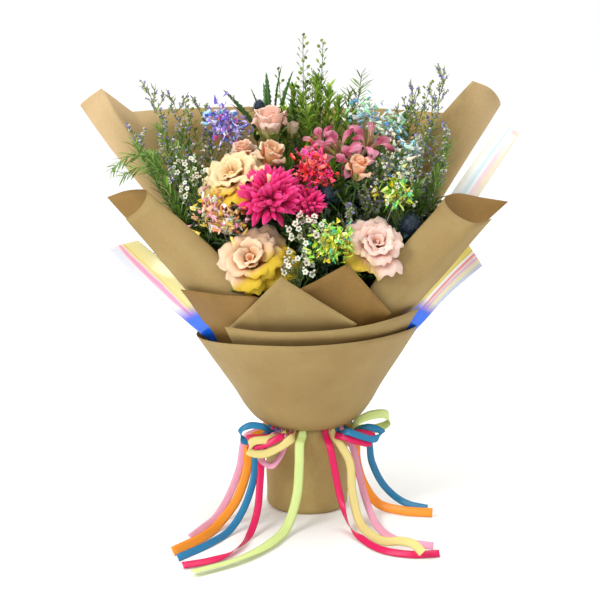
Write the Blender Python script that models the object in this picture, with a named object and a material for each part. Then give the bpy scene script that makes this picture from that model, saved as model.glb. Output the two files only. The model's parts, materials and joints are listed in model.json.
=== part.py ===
"""Flower bouquet: mixed blooms in layered kraft paper, tied with six ribbons, standing on its wrapped foot.

The bouquet faces -Y and stands with the centre of its foot at the origin. Heights are above that foot.
"""

import math
import random
from dataclasses import dataclass

import bmesh
import bpy
from mathutils import Matrix, Vector
from mathutils.bvhtree import BVHTree

# Driving sizes, in metres.
PAPER = 0.0008
FILM = 0.0006
BLADE = 0.0007
LEAF = 0.0010
CLEAR = 0.0007
SEAT = 0.0003
NECK_Z = 0.112
FORK_Z = 0.124
PACKING_TOP = 0.094
BORE_FLOOR = 0.014
BORE_RADIUS = 0.0225
BUNDLE_RADIUS = 0.0195
STEM_PITCH = 0.0043
RING_SIDES = 10
SLEEVE_SIDES = 18
RIBBON_RING_RADIUS = 0.0520
RIBBON_RING_LOW = 0.1290
RIBBON_RING_PITCH = 0.0026

COLOURS = {
    "kraft": (0.69, 0.53, 0.30),
    "packing": (0.30, 0.42, 0.30),
    "twine": (0.62, 0.55, 0.40),
    "film": (0.80, 0.72, 0.85),
    "peach": (0.93, 0.66, 0.50),
    "cream": (0.92, 0.85, 0.66),
    "magenta": (0.80, 0.03, 0.30),
    "dusky_pink": (0.74, 0.28, 0.38),
    "thistle_blue": (0.16, 0.27, 0.38),
    "white": (0.90, 0.90, 0.84),
    "purple": (0.40, 0.28, 0.52),
    "stem_green": (0.22, 0.36, 0.14),
    "leaf_green": (0.14, 0.30, 0.12),
    "pod_green": (0.36, 0.48, 0.22),
    "tinsel_purple": (0.52, 0.36, 0.78),
    "tinsel_gold": (0.90, 0.62, 0.40),
    "tinsel_red": (0.90, 0.12, 0.32),
    "tinsel_white": (0.82, 0.90, 0.90),
    "tinsel_lime": (0.78, 0.88, 0.40),
    "ribbon_teal": (0.07, 0.30, 0.48),
    "ribbon_orange": (0.95, 0.45, 0.06),
    "ribbon_yellow": (0.80, 0.72, 0.35),
    "ribbon_lime": (0.66, 0.82, 0.34),
    "ribbon_pink": (0.92, 0.46, 0.58),
    "ribbon_magenta": (0.78, 0.02, 0.26),
}

UP = Vector((0, 0, 1))
BUILT = {}


def mm(x, y, z):
    """A place given in millimetres, in metres."""
    return Vector((x, y, z)) / 1000.0


def around(radius, azimuth, z):
    """A place at a radius and height; azimuth 0 is the front (-Y) and 90 is the right (+X), in degrees."""
    angle = math.radians(azimuth)
    return Vector((radius * math.sin(angle), -radius * math.cos(angle), z))


def arc(radius, start, end, z, count):
    """Places along an arc round the vertical axis."""
    return [around(radius, start + (end - start) * i / (count - 1), z) for i in range(count)]


def smooth(points, t):
    """The place at t (0 to 1) on a smooth curve through points, whose spans may differ in length."""
    spans = len(points) - 1
    at = min(max(t, 0.0), 1.0) * spans
    index = min(int(at), spans - 1)
    local = at - index
    a, b = points[index], points[index + 1]
    before = points[index - 1] if index else a * 2 - b
    after = points[index + 2] if index + 2 <= spans else b * 2 - a
    span = (b - a).length
    leave = heading(before, a, b) * span
    arrive = heading(a, b, after) * span
    return (a + leave * local + (b * 3 - a * 3 - leave * 2 - arrive) * local**2
            + (a * 2 - b * 2 + leave + arrive) * local**3)


def heading(before, place, after):
    """The way a curve runs at a place between two others, leaning to the nearer one."""
    first, second = place - before, after - place
    leaning = first.normalized() * second.length + second.normalized() * first.length
    return leaning / (first.length + second.length)


def turned_to(axis):
    """The rotation that turns +Z onto an axis."""
    return axis.to_track_quat("Z", "Y").to_matrix().to_4x4()


def closed(bm):
    """Welds, triangulates and turns a solid's faces outward."""
    bmesh.ops.remove_doubles(bm, verts=bm.verts[:], dist=1e-6)
    bmesh.ops.triangulate(bm, faces=bm.faces[:])
    bmesh.ops.recalc_face_normals(bm, faces=bm.faces[:])
    return bm


def blade(point, columns, rows, thickness=BLADE):
    """A thin solid: a grid bent to point(u, v) and thickened away from its outer face."""
    bm = bmesh.new()
    bmesh.ops.create_grid(bm, x_segments=columns, y_segments=rows, size=0.5)
    for vert in bm.verts:
        vert.co = point(vert.co.x + 0.5, vert.co.y + 0.5)
    bmesh.ops.remove_doubles(bm, verts=bm.verts[:], dist=1e-6)
    bmesh.ops.triangulate(bm, faces=bm.faces[:])
    bm.normal_update()
    bmesh.ops.solidify(bm, geom=bm.faces[:], thickness=thickness)
    return closed(bm)


def turned(profile, sides, thickness=0.0):
    """A solid turned round the vertical axis from (radius, height) pairs; thin if it has a thickness."""
    bm = bmesh.new()
    verts = [bm.verts.new((0.0, -radius, z)) for radius, z in profile]
    edges = [bm.edges.new(pair) for pair in zip(verts, verts[1:])]
    if not thickness and profile[0][0] > 0:
        edges.append(bm.edges.new((verts[-1], verts[0])))
    bmesh.ops.spin(bm, geom=verts + edges, cent=(0, 0, 0), axis=(0, 0, 1), angle=math.tau, steps=sides,
                   use_merge=True)
    bmesh.ops.remove_doubles(bm, verts=bm.verts[:], dist=1e-6)
    if thickness:
        bmesh.ops.triangulate(bm, faces=bm.faces[:])
        bmesh.ops.recalc_face_normals(bm, faces=bm.faces[:])
        bmesh.ops.solidify(bm, geom=bm.faces[:], thickness=thickness)
    return closed(bm)


def needle(base, tip, radius, sides=3):
    """A pointed solid from a base to a tip."""
    bm = bmesh.new()
    length = (tip - base).length
    bmesh.ops.create_cone(bm, cap_ends=True, segments=sides, radius1=radius, radius2=0.0, depth=length)
    bm.transform(Matrix.Translation((base + tip) / 2) @ turned_to(tip - base))
    return closed(bm)


def flare(root, end, radius, sides=3, flat=1.0):
    """A trumpet: pointed at its root and wide at its end; flat squashes it into a sliver."""
    bm = bmesh.new()
    length = (end - root).length
    bmesh.ops.create_cone(bm, cap_ends=True, segments=sides, radius1=0.0, radius2=radius, depth=length)
    squash = Matrix.Diagonal((1.0, flat, 1.0, 1.0))
    bm.transform(Matrix.Translation((root + end) / 2) @ turned_to(end - root) @ squash)
    return closed(bm)


def plate(rim, low, high):
    """A thin lens: a rim of places, closed on each side by a fan from one place."""
    bm = bmesh.new()
    bmesh.ops.create_uvsphere(bm, u_segments=len(rim), v_segments=2, radius=1.0)
    for vert in bm.verts:
        if abs(vert.co.z) > 0.5:
            vert.co = high if vert.co.z > 0 else low
        else:
            corner = round(math.atan2(vert.co.y, vert.co.x) / (math.tau / len(rim)))
            vert.co = rim[corner % len(rim)]
    return closed(bm)


def lens(point, rim, centre, thickness):
    """A plate cut from a curved surface point(u, v), thickest at its centre."""
    places = [point(u, v) for u, v in rim]
    middle = point(*centre)
    normal = sum(((a - middle).cross(b - middle) for a, b in zip(places, places[1:] + places[:1])), Vector())
    half = normal.normalized() * thickness / 2
    return plate(places, middle - half, middle + half)


def blossom(root, centre, facing, radius, petals=5, notch=0.42):
    """A small open flower on its own tapering stalk."""
    frame = Matrix.Translation(centre) @ turned_to(facing)
    rim = []
    for corner in range(2 * petals):
        reach = radius * (1.0 - notch * (corner % 2))
        angle = math.tau * corner / (2 * petals)
        rim.append(frame @ Vector((reach * math.cos(angle), reach * math.sin(angle), 0.0008)))
    return plate(rim, root, frame @ Vector((0, 0, 0.0002)))


def pod(root, centre, normal, radius):
    """A flat round seed pod that narrows to its stalk."""
    out = (centre - root).normalized()
    side = out.cross(normal).normalized()
    rim = [root]
    for degrees in (-120, -60, 0, 60, 120):
        angle = math.radians(degrees)
        rim.append(centre + (out * math.cos(angle) + side * math.sin(angle)) * radius)
    return plate(rim, centre - normal * 0.001, centre + normal * 0.001)


def ball(centre, axis, length, radius, sides=6, rings=4):
    """A rounded core, longer or shorter along its axis."""
    bm = bmesh.new()
    bmesh.ops.create_uvsphere(bm, u_segments=sides, v_segments=rings, radius=1.0)
    scale = Matrix.Diagonal((radius, radius, length / 2, 1.0))
    bm.transform(Matrix.Translation(centre) @ turned_to(axis) @ scale)
    return closed(bm)


def rod(points, radii):
    """A four-sided tube along points, from a bevelled curve with filled caps."""
    curve = bpy.data.curves.new("rod", "CURVE")
    curve.dimensions = "3D"
    curve.bevel_depth = 1.0
    curve.bevel_resolution = 0
    curve.use_fill_caps = True
    spline = curve.splines.new("POLY")
    spline.points.add(len(points) - 1)
    for index, place in enumerate(points):
        spline.points[index].co = (*place, 1.0)
        spline.points[index].radius = radii[0] + (radii[1] - radii[0]) * index / (len(points) - 1)
    guide = bpy.data.objects.new("rod", curve)
    bpy.context.scene.collection.objects.link(guide)
    mesh = bpy.data.meshes.new_from_object(guide.evaluated_get(bpy.context.evaluated_depsgraph_get()))
    bm = bmesh.new()
    bm.from_mesh(mesh)
    bpy.data.objects.remove(guide)
    bpy.data.curves.remove(curve)
    bpy.data.meshes.remove(mesh)
    bmesh.ops.remove_doubles(bm, verts=bm.verts[:], dist=1e-5)
    return closed(bm)


def leaf(base, along, up, length, width, pairs=2, arch=0.15, fold=0.10, tooth=0.0):
    """A leaf from its root: arched, dished at its rib, with pairs of places down its edges."""
    along = along.normalized()
    side = along.cross(up).normalized()
    rise = side.cross(along)

    def point(u, v):
        across = 2 * u - 1
        outline = math.sin(math.pi * v) ** 0.7 if 0 < v < 1 else 0.0
        height = arch * length * math.sin(math.pi * v * 0.8) + fold * width * abs(across)
        return base + along * length * v + side * width / 2 * outline * across + rise * height

    shares = [0.12 + 0.74 * (i + 0.5) / pairs for i in range(pairs)]
    inset = [tooth * (i % 2) / 2 for i in range(pairs)]
    right = [(1.0 - cut, v) for cut, v in zip(inset, shares)]
    left = [(cut, v) for cut, v in zip(inset, shares)]
    return lens(point, [(0.5, 0.0)] + right + [(0.5, 1.0)] + left[::-1], (0.5, 0.45), LEAF)


class Node:
    """One named solid in the making: its repeats gather here and one union fuses them."""

    def __init__(self, name, colour):
        self.name = name
        self.colour = colour
        self.pieces = []
        self.tips = []

    def add(self, bm):
        """Keeps a piece as it is."""
        self.pieces.append(bm)

    def fit(self, bm, apart=False):
        """Keeps a piece only where it is clear of every finished node, and of its like if they lie apart."""
        tree = BVHTree.FromBMesh(bm)
        if not is_clear(bm) or apart and any(tree.overlap(tip) for tip in self.tips):
            bm.free()
            return False
        if apart:
            self.tips.append(tree)
        self.pieces.append(bm)
        return True

    def finish(self):
        """Fuses the pieces, drops loose scraps, and makes the named object."""
        holder = bpy.data.collections.new(self.name + "_repeats")
        bpy.context.scene.collection.children.link(holder)
        objects = []
        for bm in self.pieces:
            mesh = bpy.data.meshes.new(self.name)
            bm.to_mesh(mesh)
            bm.free()
            objects.append(bpy.data.objects.new(self.name + "_piece", mesh))
        first, rest = objects[0], objects[1:]
        bpy.context.scene.collection.objects.link(first)
        if rest:
            for other in rest:
                holder.objects.link(other)
            union = first.modifiers.new("Union", "BOOLEAN")
            union.operation = "UNION"
            union.operand_type = "COLLECTION"
            union.collection = holder
            union.solver = "MANIFOLD"
        mesh = bpy.data.meshes.new_from_object(first.evaluated_get(bpy.context.evaluated_depsgraph_get()))
        for other in objects:
            bpy.data.objects.remove(other)
        bpy.data.collections.remove(holder)
        bm = bmesh.new()
        bm.from_mesh(mesh)
        bmesh.ops.dissolve_limit(bm, angle_limit=math.radians(1.0), verts=bm.verts[:], edges=bm.edges[:])
        bmesh.ops.triangulate(bm, faces=bm.faces[:])
        keep_largest(bm)
        bm.to_mesh(mesh)
        mesh.name = self.name
        mesh.materials.clear()
        mesh.materials.append(material(self.colour))
        node = bpy.data.objects.new(self.name, mesh)
        PARTS.objects.link(node)
        mesh.shade_smooth()
        mesh.set_sharp_from_angle(angle=math.radians(40))
        BUILT[self.name] = (BVHTree.FromBMesh(bm), *box_of(bm))
        bm.free()
        return node


def keep_largest(bm):
    """Removes every shell but the largest: loose scraps and the skins of sealed hollows."""
    bm.verts.ensure_lookup_table()
    seen = set()
    shells = []
    for start in bm.verts:
        if start in seen:
            continue
        shell = {start}
        edge_of = [start]
        while edge_of:
            for edge in edge_of.pop().link_edges:
                for vert in edge.verts:
                    if vert not in shell:
                        shell.add(vert)
                        edge_of.append(vert)
        seen |= shell
        shells.append(shell)
    shells.sort(key=len)
    for shell in shells[:-1]:
        bmesh.ops.delete(bm, geom=list(shell), context="VERTS")


def box_of(bm):
    """The lowest and highest corner of a mesh."""
    low = Vector([min(vert.co[i] for vert in bm.verts) for i in range(3)])
    high = Vector([max(vert.co[i] for vert in bm.verts) for i in range(3)])
    return low, high


def is_inside(place, tree):
    """Whether a place lies inside a closed surface, from the crossings of an upward line."""
    crossings = 0
    start = place.copy()
    while crossings < 40:
        hit = tree.ray_cast(start, Vector((0, 0, 1)))[0]
        if hit is None:
            break
        crossings += 1
        start = hit + Vector((0, 0, 1e-5))
    return crossings % 2 == 1


def is_clear(bm):
    """Whether a solid keeps clear of every finished node."""
    low, high = box_of(bm)
    tree = BVHTree.FromBMesh(bm)
    for other, other_low, other_high in BUILT.values():
        if any(low[i] > other_high[i] + CLEAR or high[i] < other_low[i] - CLEAR for i in range(3)):
            continue
        if tree.overlap(other):
            return False
        if any(other.find_nearest(vert.co, CLEAR)[0] is not None for vert in bm.verts):
            return False
        if is_inside(next(iter(bm.verts)).co, other):
            return False
    return True


def material(name):
    """The Principled material of a colour name, made once."""
    found = bpy.data.materials.get(name)
    if found:
        return found
    made = bpy.data.materials.new(name)
    made.use_nodes = True
    shader = made.node_tree.nodes["Principled BSDF"]
    shader.inputs["Base Color"].default_value = (*COLOURS[name], 1.0)
    shader.inputs["Roughness"].default_value = 0.3 if name.startswith(("film", "tinsel", "ribbon")) else 0.7
    shader.inputs["Metallic"].default_value = 0.0
    return made


# Paper and film. Each sheet is a loft through rows of places, from the neck up to its rim.

def sheet(name, rows, columns, steps, colour="kraft", thickness=PAPER):
    """A sheet through rows of places."""
    node = Node(name, colour)
    node.add(blade(lambda u, v: smooth([smooth(row, u) for row in rows], v), columns, steps, thickness))
    node.finish()


BACK_RIM = [mm(*place) for place in (
    (-262, 84, 540), (-288, 80, 550), (-310, 66, 559), (-317, 48, 564), (-305, 30, 576), (-282, 22, 587),
    (-256, 24, 583), (-232, 38, 573), (-205, 60, 565), (-165, 92, 559), (-115, 118, 556), (-60, 132, 555),
    (0, 137, 554),
    (55, 134, 553), (105, 118, 554), (145, 92, 560), (172, 62, 570), (196, 38, 587), (220, 26, 599),
    (243, 26, 593), (262, 38, 577), (268, 56, 563), (258, 72, 554), (238, 82, 549), (212, 84, 545),
)]
LAPEL_LEFT_TOP = [mm(*place) for place in (
    (-273, -20, 445), (-246, -26, 455), (-225, -36, 458), (-216, -52, 458), (-218, -72, 447),
    (-226, -82, 436), (-241, -76, 424),
)]
LAPEL_LEFT_MIDDLE = [mm(*place) for place in (
    (-174, -20, 335), (-150, -55, 337), (-112, -95, 334), (-69, -130, 329), (-100, -130, 329),
    (-135, -113, 331), (-168, -88, 335),
)]
LAPEL_RIGHT_TOP = [mm(*place) for place in (
    (275, -20, 439), (239, -20, 445), (205, -30, 452), (187, -52, 449), (197, -88, 432), (218, -102, 423),
    (245, -80, 425),
)]
LAPEL_RIGHT_MIDDLE = [mm(*place) for place in (
    (168, -25, 332), (148, -55, 335), (118, -100, 340), (86, -138, 342), (108, -134, 337), (138, -115, 331),
    (163, -88, 328),
)]
INNER_LEFT_RIM = [mm(*place) for place in (
    (-170, -98, 332), (-142, -124, 334), (-106, -141, 333), (-69, -149, 333), (-40, -137, 325),
)]
PEAKED_RIM = [mm(*place) for place in (
    (-102, -112, 284), (-72, -151, 322), (-35, -167, 362), (0, -157, 340), (46, -150, 377), (80, -151, 343),
    (111, -129, 306), (122, -97, 286),
)]
COLLAR_INNER_RIM = [mm(*place) for place in (
    (-110, -124, 294), (-60, -151, 291), (3, -161, 289), (75, -151, 295), (122, -126, 302), (151, -91, 306),
)]
FILM_LEFT = (
    [mm(-272, -34, 374), mm(-254, -28, 380), mm(-236, -20, 384)],
    [mm(-170, -46, 284), mm(-166, -58, 294), mm(-158, -72, 302)],
)
FILM_RIGHT_LOW = (
    [mm(222, -24, 368), mm(231, -30, 364), mm(240, -38, 358)],
    [mm(160, -66, 294), mm(166, -57, 290), mm(170, -46, 284)],
)
FILM_RIGHT_HIGH = (
    [mm(273, 12, 541), mm(282, 4, 536), mm(290, -5, 531)],
    [mm(212, 4, 448), mm(219, -2, 444), mm(226, -9, 440)],
)
# Outer collar: its lower edge, then its rim from the back as azimuth, radius and height in millimetres.
COLLAR_EDGE_RADIUS = 0.0615
COLLAR_EDGE_Z = 0.1245
COLLAR_OUTER_RIM = (
    (-180, 108, 250), (-150, 114, 250), (-120, 134, 250), (-97, 152, 252), (-75, 160, 254), (-50, 164, 258),
    (-25, 166, 261), (0, 167, 262), (25, 166, 262), (50, 164, 261), (75, 160, 260), (97, 152, 256),
    (120, 134, 252), (150, 114, 250), (180, 108, 250),
)
# How far up its height each row of the outer collar lies, and how far out.
COLLAR_OUTER_SHARES = ((0.0, 0.0), (0.21, 0.265), (0.53, 0.575), (1.0, 1.0))
COLLAR_INNER_NECK = ((0.0409, 0.114), (0.0422, 0.128), (0.0458, 0.1395), (0.0490, 0.1475), (0.0700, 0.162),
                     (0.1240, 0.225))
# Height and how far a sheet has spread from the neck there.
NECK_FLARE = ((NECK_Z, 0.0), (0.142, 0.0014), (0.168, 0.0210))
# Height of the row where the front sheets lie one over another, then each row as radius and azimuth.
OVERLAP_Z = 0.243
INNER_LEFT_MIDDLE = ((0.1270, -66), (0.1225, -54), (0.1195, -41), (0.1160, -28), (0.1090, -14))
PEAKED_MIDDLE = ((0.1250, -41), (0.1210, -27), (0.1160, -13), (0.1130, 0), (0.1160, 14), (0.1190, 26),
                 (0.1210, 38), (0.1220, 50))


# A front margin where it stands in the neck: radius and azimuth, from its back panel round its turn.
LAPEL_NECK = ((0.0330, 118), (0.0330, 97), (0.0330, 75), (0.0331, 45), (0.0344, 16), (0.0356, 30),
              (0.0358, 46), (0.0358, 63), (0.0358, 80))


def lapel(name, side, top, middle):
    """A folded-out front margin: its back panel, its turn and its front panel, up from the neck."""
    rows = []
    for z, flare_out in NECK_FLARE:
        rows.append([around(radius + flare_out, side * azimuth, z) for radius, azimuth in LAPEL_NECK])
    rows += [middle, top]
    sheet(name, [row[::-side] for row in rows], 12, 8)


def necked(radius, start, end, count, spread=1.0):
    """Rows of a sheet that rises inside the neck before it flares."""
    return [arc(radius + flare_out * spread, start, end, z, count) for z, flare_out in NECK_FLARE]


def build_wrap():
    """The sheets of paper and film, from the inside out."""
    sheet("back_sheet", necked(0.0338, -115, -245, len(BACK_RIM)) + [BACK_RIM], 24, 3)
    lapel("lapel_left", -1, LAPEL_LEFT_TOP, LAPEL_LEFT_MIDDLE)
    lapel("lapel_right", 1, LAPEL_RIGHT_TOP, LAPEL_RIGHT_MIDDLE)
    middle = [around(radius, azimuth, OVERLAP_Z) for radius, azimuth in INNER_LEFT_MIDDLE]
    sheet("inner_left_sheet", necked(0.0380, -74, -14, len(middle), 1.1) + [middle, INNER_LEFT_RIM], 5, 4)
    middle = [around(radius, azimuth, OVERLAP_Z) for radius, azimuth in PEAKED_MIDDLE]
    sheet("peaked_sheet", necked(0.0394, -42, 50, len(middle), 1.2) + [middle, PEAKED_RIM], 7, 4)
    collar = [arc(radius, -42, 60, z, len(COLLAR_INNER_RIM)) for radius, z in COLLAR_INNER_NECK]
    sheet("collar_inner", collar + [COLLAR_INNER_RIM], 8, 6)
    outer = []
    for up, out in COLLAR_OUTER_SHARES:
        row = []
        for azimuth, rim_radius, rim_z in COLLAR_OUTER_RIM:
            radius = COLLAR_EDGE_RADIUS + (rim_radius / 1000 - COLLAR_EDGE_RADIUS) * out
            row.append(around(radius, azimuth, COLLAR_EDGE_Z + (rim_z / 1000 - COLLAR_EDGE_Z) * up))
        outer.append(row)
    sheet("collar_outer", outer, 24, 3)
    for name, (rim, middle), sweep, radius in (
        ("film_left", FILM_LEFT, (-95, -84), 0.0342),
        ("film_right_low", FILM_RIGHT_LOW, (84, 95), 0.0342),
        ("film_right_high", FILM_RIGHT_HIGH, (107, 98), 0.0337),
    ):
        sheet(name, necked(radius, *sweep, 3, 1.25) + [middle, rim], 2, 8, "film", FILM)


def build_foot():
    """The paper foot, the wet packing in it and the tie round the stems."""
    sleeve = Node("foot_sleeve", "kraft")
    sleeve.add(turned([(0.0, 0.0), (0.0545, 0.0), (0.0583, 0.007), (0.0583, 0.110), (0.0565, 0.120),
                       (0.0530, 0.1283), (0.0436, 0.1283)], SLEEVE_SIDES, PAPER))
    sleeve.finish()
    floor = PAPER + SEAT
    packing = Node("wet_packing", "packing")
    packing.add(turned([(0.0, floor), (0.052, floor), (0.0552, floor + 0.006), (0.0552, PACKING_TOP - 0.006),
                        (0.050, PACKING_TOP), (BORE_RADIUS, PACKING_TOP), (BORE_RADIUS, BORE_FLOOR),
                        (0.0, BORE_FLOOR)], 16))
    packing.finish()
    tie = Node("stem_tie", "twine")
    tie.add(turned([(0.0222, 0.098), (0.0240, 0.098), (0.0240, 0.103), (0.0222, 0.103)], RING_SIDES))
    tie.finish()


# Ribbons. Each has its turn round the neck, under the outer collar. Tails and loops leave the turn narrow, as
# gathered, and widen below the collar's edge. The tails end on edge on the surface, their faces to the front.

VIEWER = Vector((0.0, -0.94, 0.34))
LOOP_LEAN = Vector((0.15, 0.72, 0.68))
RIBBON = 0.0006
GATHERED = 0.0018
# How wide a ribbon has grown at each place from its turn, as a share of its full width.
SPREAD = (0.0, 0.04, 0.10, 0.22, 0.65)


@dataclass
class Run:
    """A tail or loop: the azimuth where it leaves its turn, its places in millimetres, a loop's return."""
    leaves: float
    places: tuple
    returns: float = None
    twist_at: int = 0
    twist: float = 0.0


def ring_radius(azimuth):
    """The middle of a ribbon's many-sided turn at an azimuth in degrees."""
    half = math.pi / RING_SIDES
    return RIBBON_RING_RADIUS * math.cos(half) / math.cos(math.radians(azimuth) % (2 * half) - half)


def lead(azimuth, z):
    """The way from a turn at a height to below the collar's edge."""
    start = ring_radius(azimuth)
    under = around(COLLAR_EDGE_RADIUS - 0.0018, azimuth, COLLAR_EDGE_Z)
    below = around(COLLAR_EDGE_RADIUS + 0.001, azimuth, COLLAR_EDGE_Z - 0.0065)
    return [around(start, azimuth, z), around(start + 0.0032, azimuth, z), under, below]


def strap(run, width, z):
    """A flat ribbon along a run, from its turn at a height: gathered at first, then turned to be seen."""
    places = lead(run.leaves, z) + [mm(*place) for place in run.places]
    if run.returns is not None:
        places += lead(run.returns, z)[::-1]
    last = len(places) - 1
    sides = []
    for index, place in enumerate(places):
        ahead = (places[min(index + 1, last)] - places[max(index - 1, 0)]).normalized()
        near = index if run.returns is None else min(index, last - index)
        share = SPREAD[near] if near < len(SPREAD) else 1.0
        level = Vector((-place.y, place.x, 0.0)).normalized()
        shown = ahead.cross(VIEWER) if run.returns is None else LOOP_LEAN - ahead * ahead.dot(LOOP_LEAN)
        if shown.dot(level) < 0:
            level = -level
        side = level.lerp(shown.normalized(), min(share * 1.5, 1.0))
        side -= ahead * ahead.dot(side)
        if run.twist and index >= run.twist_at:
            turn = run.twist * min(1.0, (index - run.twist_at + 1) / 2)
            side = Matrix.Rotation(math.radians(turn), 3, ahead) @ side
        side = side.normalized() * (GATHERED + (width - GATHERED) * share)
        place.z = max(place.z, abs(side.z) / 2 + RIBBON + SEAT)
        sides.append(side)
    return blade(lambda u, v: places[round(v * last)] + sides[round(v * last)] * (u - 0.5), 1, last, RIBBON)


# Width in metres, then the runs.
RIBBONS = {
    "ribbon_pink": (0.010, (
        Run(-74, ((-84, -32, 109), (-95, -48, 66), (-110, -66, 30), (-126, -88, 9), (-142, -120, 5),
                  (-157, -158, 5))),
        Run(-42, ((-43, -59, 107), (-48, -66, 93), (-47, -70, 80), (-39, -71, 77), (-32, -69, 88),
                  (-31, -63, 105)), -34),
        Run(50.5, ((62, -46, 100), (70, -50, 72), (79, -60, 35), (88, -80, 12), (98, -122, 5), (124, -172, 5),
                   (166, -190, 5))),
    )),
    "ribbon_orange": (0.013, (
        Run(-66, ((-78, -45, 108), (-84, -60, 68), (-98, -84, 32), (-118, -108, 10), (-140, -158, 6),
                  (-176, -212, 6))),
        Run(66, ((66, -28, 104), (70, -30, 70), (80, -32, 38), (100, -40, 12), (132, -56, 7), (175, -66, 7))),
    )),
    "ribbon_teal": (0.009, (
        Run(-58, ((-68, -55, 104), (-74, -72, 60), (-87, -100, 26), (-103, -130, 8), (-127, -176, 5),
                  (-168, -232, 5))),
        Run(-90, ((-76, -14, 122), (-88, -24, 122), (-91, -28, 114), (-82, -22, 107), (-70, -6, 110)), -100),
        Run(81.5, ((84, -16, 104), (92, -18, 66), (111, -18, 29), (134, -20, 9), (150, -30, 5),
                   (170, -42, 5))),
        Run(43, ((58, -64, 121), (86, -66, 117), (99, -58, 114), (91, -48, 111)), 58),
    )),
    "ribbon_magenta": (0.010, (
        Run(-50, ((-60, -62, 102), (-65, -80, 60), (-68, -108, 27), (-76, -142, 8), (-90, -190, 5),
                  (-121, -238, 5), (-160, -258, 5)), twist_at=8, twist=-150),
        Run(24, ((31, -72, 106), (36, -78, 84), (45, -92, 41), (56, -118, 10), (72, -160, 5), (104, -208, 5),
                 (136, -220, 5), (172, -216, 5)), twist_at=7, twist=160),
    )),
    "ribbon_lime": (0.014, (
        Run(-6, ((-10, -76, 112), (-11, -82, 83), (-14, -98, 45), (-27, -132, 12), (-49, -184, 7),
                 (-90, -240, 7), (-146, -284, 7))),
        Run(73, ((88, -36, 128), (104, -36, 128), (108, -28, 137), (92, -14, 134)), 90),
    )),
    "ribbon_yellow": (0.012, (
        Run(34, ((47, -64, 104), (58, -66, 84), (62, -80, 45), (70, -104, 12), (83, -146, 7), (104, -186, 10),
                 (122, -203, 17), (138, -220, 19), (148, -240, 15))),
        Run(-16, ((-20, -73, 113), (-44, -85, 98), (-70, -85, 92), (-79, -80, 100), (-70, -74, 107),
                  (-44, -72, 111)), -26),
    )),
}


def build_ribbons():
    """Six ribbons, each its own turn round the neck fused with its tails and loops."""
    for level, (name, (width, runs)) in enumerate(RIBBONS.items()):
        node = Node(name, name)
        low = RIBBON_RING_LOW + level * RIBBON_RING_PITCH
        high = low + RIBBON_RING_PITCH - 0.0005
        inner, outer = RIBBON_RING_RADIUS - RIBBON, RIBBON_RING_RADIUS + RIBBON
        node.add(turned([(inner, low), (outer, low), (outer, high), (inner, high)], RING_SIDES))
        for run in runs:
            node.add(strap(run, width, low + 0.001))
        node.finish()


# Stems. Every stem stands in the bundle and fans out straight, so that none crosses another.

@dataclass
class Plant:
    """One stem in the bundle: where its head or tip is, and how thick it is."""
    name: str
    tip: Vector
    radius: float = 0.0012
    root: Vector = None

    def at(self, z):
        """The stem's place at a height."""
        share = max(0.0, (z - FORK_Z) / (self.tip.z - FORK_Z))
        return Vector((self.root.x, self.root.y, z)).lerp(Vector((self.tip.x, self.tip.y, z)), share)

    def stem(self, top=None, steps=2):
        """The main stem as a rod, from the floor of the bore up to a height."""
        top = top or self.tip.z
        heights = [FORK_Z + (top - FORK_Z) * i / steps for i in range(steps + 1)]
        foot = Vector((self.root.x, self.root.y, BORE_FLOOR + SEAT))
        return rod([foot] + [self.at(z) for z in heights], (self.radius, self.radius * 0.6))


def settle(plants):
    """Finds each stem's root in the bundle: near its own direction and clear of the others."""
    for index, plant in enumerate(plants):
        rise = plant.tip.z - FORK_Z
        plant.root = Vector((plant.tip.x, plant.tip.y, 0)) * (0.034 / rise)
        plant.root.x += 0.0003 * math.sin(index * 2.4)
        plant.root.y += 0.0003 * math.cos(index * 2.4)
    for _ in range(600):
        for index, plant in enumerate(plants):
            for other in plants[index + 1:]:
                push(plant, other)
            reach = plant.root.length
            if reach > BUNDLE_RADIUS:
                plant.root *= BUNDLE_RADIUS / reach


def push(plant, other):
    """Moves two roots apart where their stems come closer than the pitch at any height."""
    for z in (FORK_Z, 0.16, 0.20, 0.25, 0.31, 0.37):
        if z > min(plant.tip.z, other.tip.z):
            break
        apart = plant.at(z) - other.at(z)
        short = STEM_PITCH - apart.length
        if short > 0:
            shift = apart.normalized() * (short * 0.5 + 0.0001)
            plant.root += shift
            other.root -= shift


def spiral(index, count, start=0.0, end=1.0):
    """Even directions over a dome: azimuth by the golden angle, and height from start to end."""
    share = (index + 0.5) / count
    height = start + (end - start) * share
    angle = index * math.pi * (3 - math.sqrt(5))
    reach = math.sqrt(max(0.0, 1 - height * height))
    return Vector((reach * math.cos(angle), reach * math.sin(angle), height))


# Blooms, each in a frame whose +Z looks out of the flower and whose origin is its seat on the stem.

PETAL_RIM = ((0.5, 0.0), (0.92, 0.34), (1.0, 0.74), (0.76, 1.0), (0.5, 0.92), (0.24, 1.0), (0.0, 0.74),
             (0.08, 0.34))


def petal(frame, azimuth, span, reach, lift, curl=0.0, ruffle=0.0, twist=0.12, root=0.1):
    """A petal round the flower's axis: its span in degrees, and how far out and up it reaches."""
    def point(u, v):
        across = 2 * u - 1
        out = reach * (root + v**1.15 * (1 - 0.10 * across * across * v) + twist * across * v)
        up = lift * (math.sin(v * math.pi * 0.5) - curl * v**4 - 0.12 * across * across * v)
        up += 0.0012 + ruffle * reach * v * v * math.cos(across * math.pi * 1.5 + azimuth)
        angle = math.radians(azimuth + across * span / 2 * (0.45 + 0.55 * v))
        return frame @ Vector((out * math.cos(angle), out * math.sin(angle), up))

    return lens(point, PETAL_RIM, (0.5, 0.62), LEAF)


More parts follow.
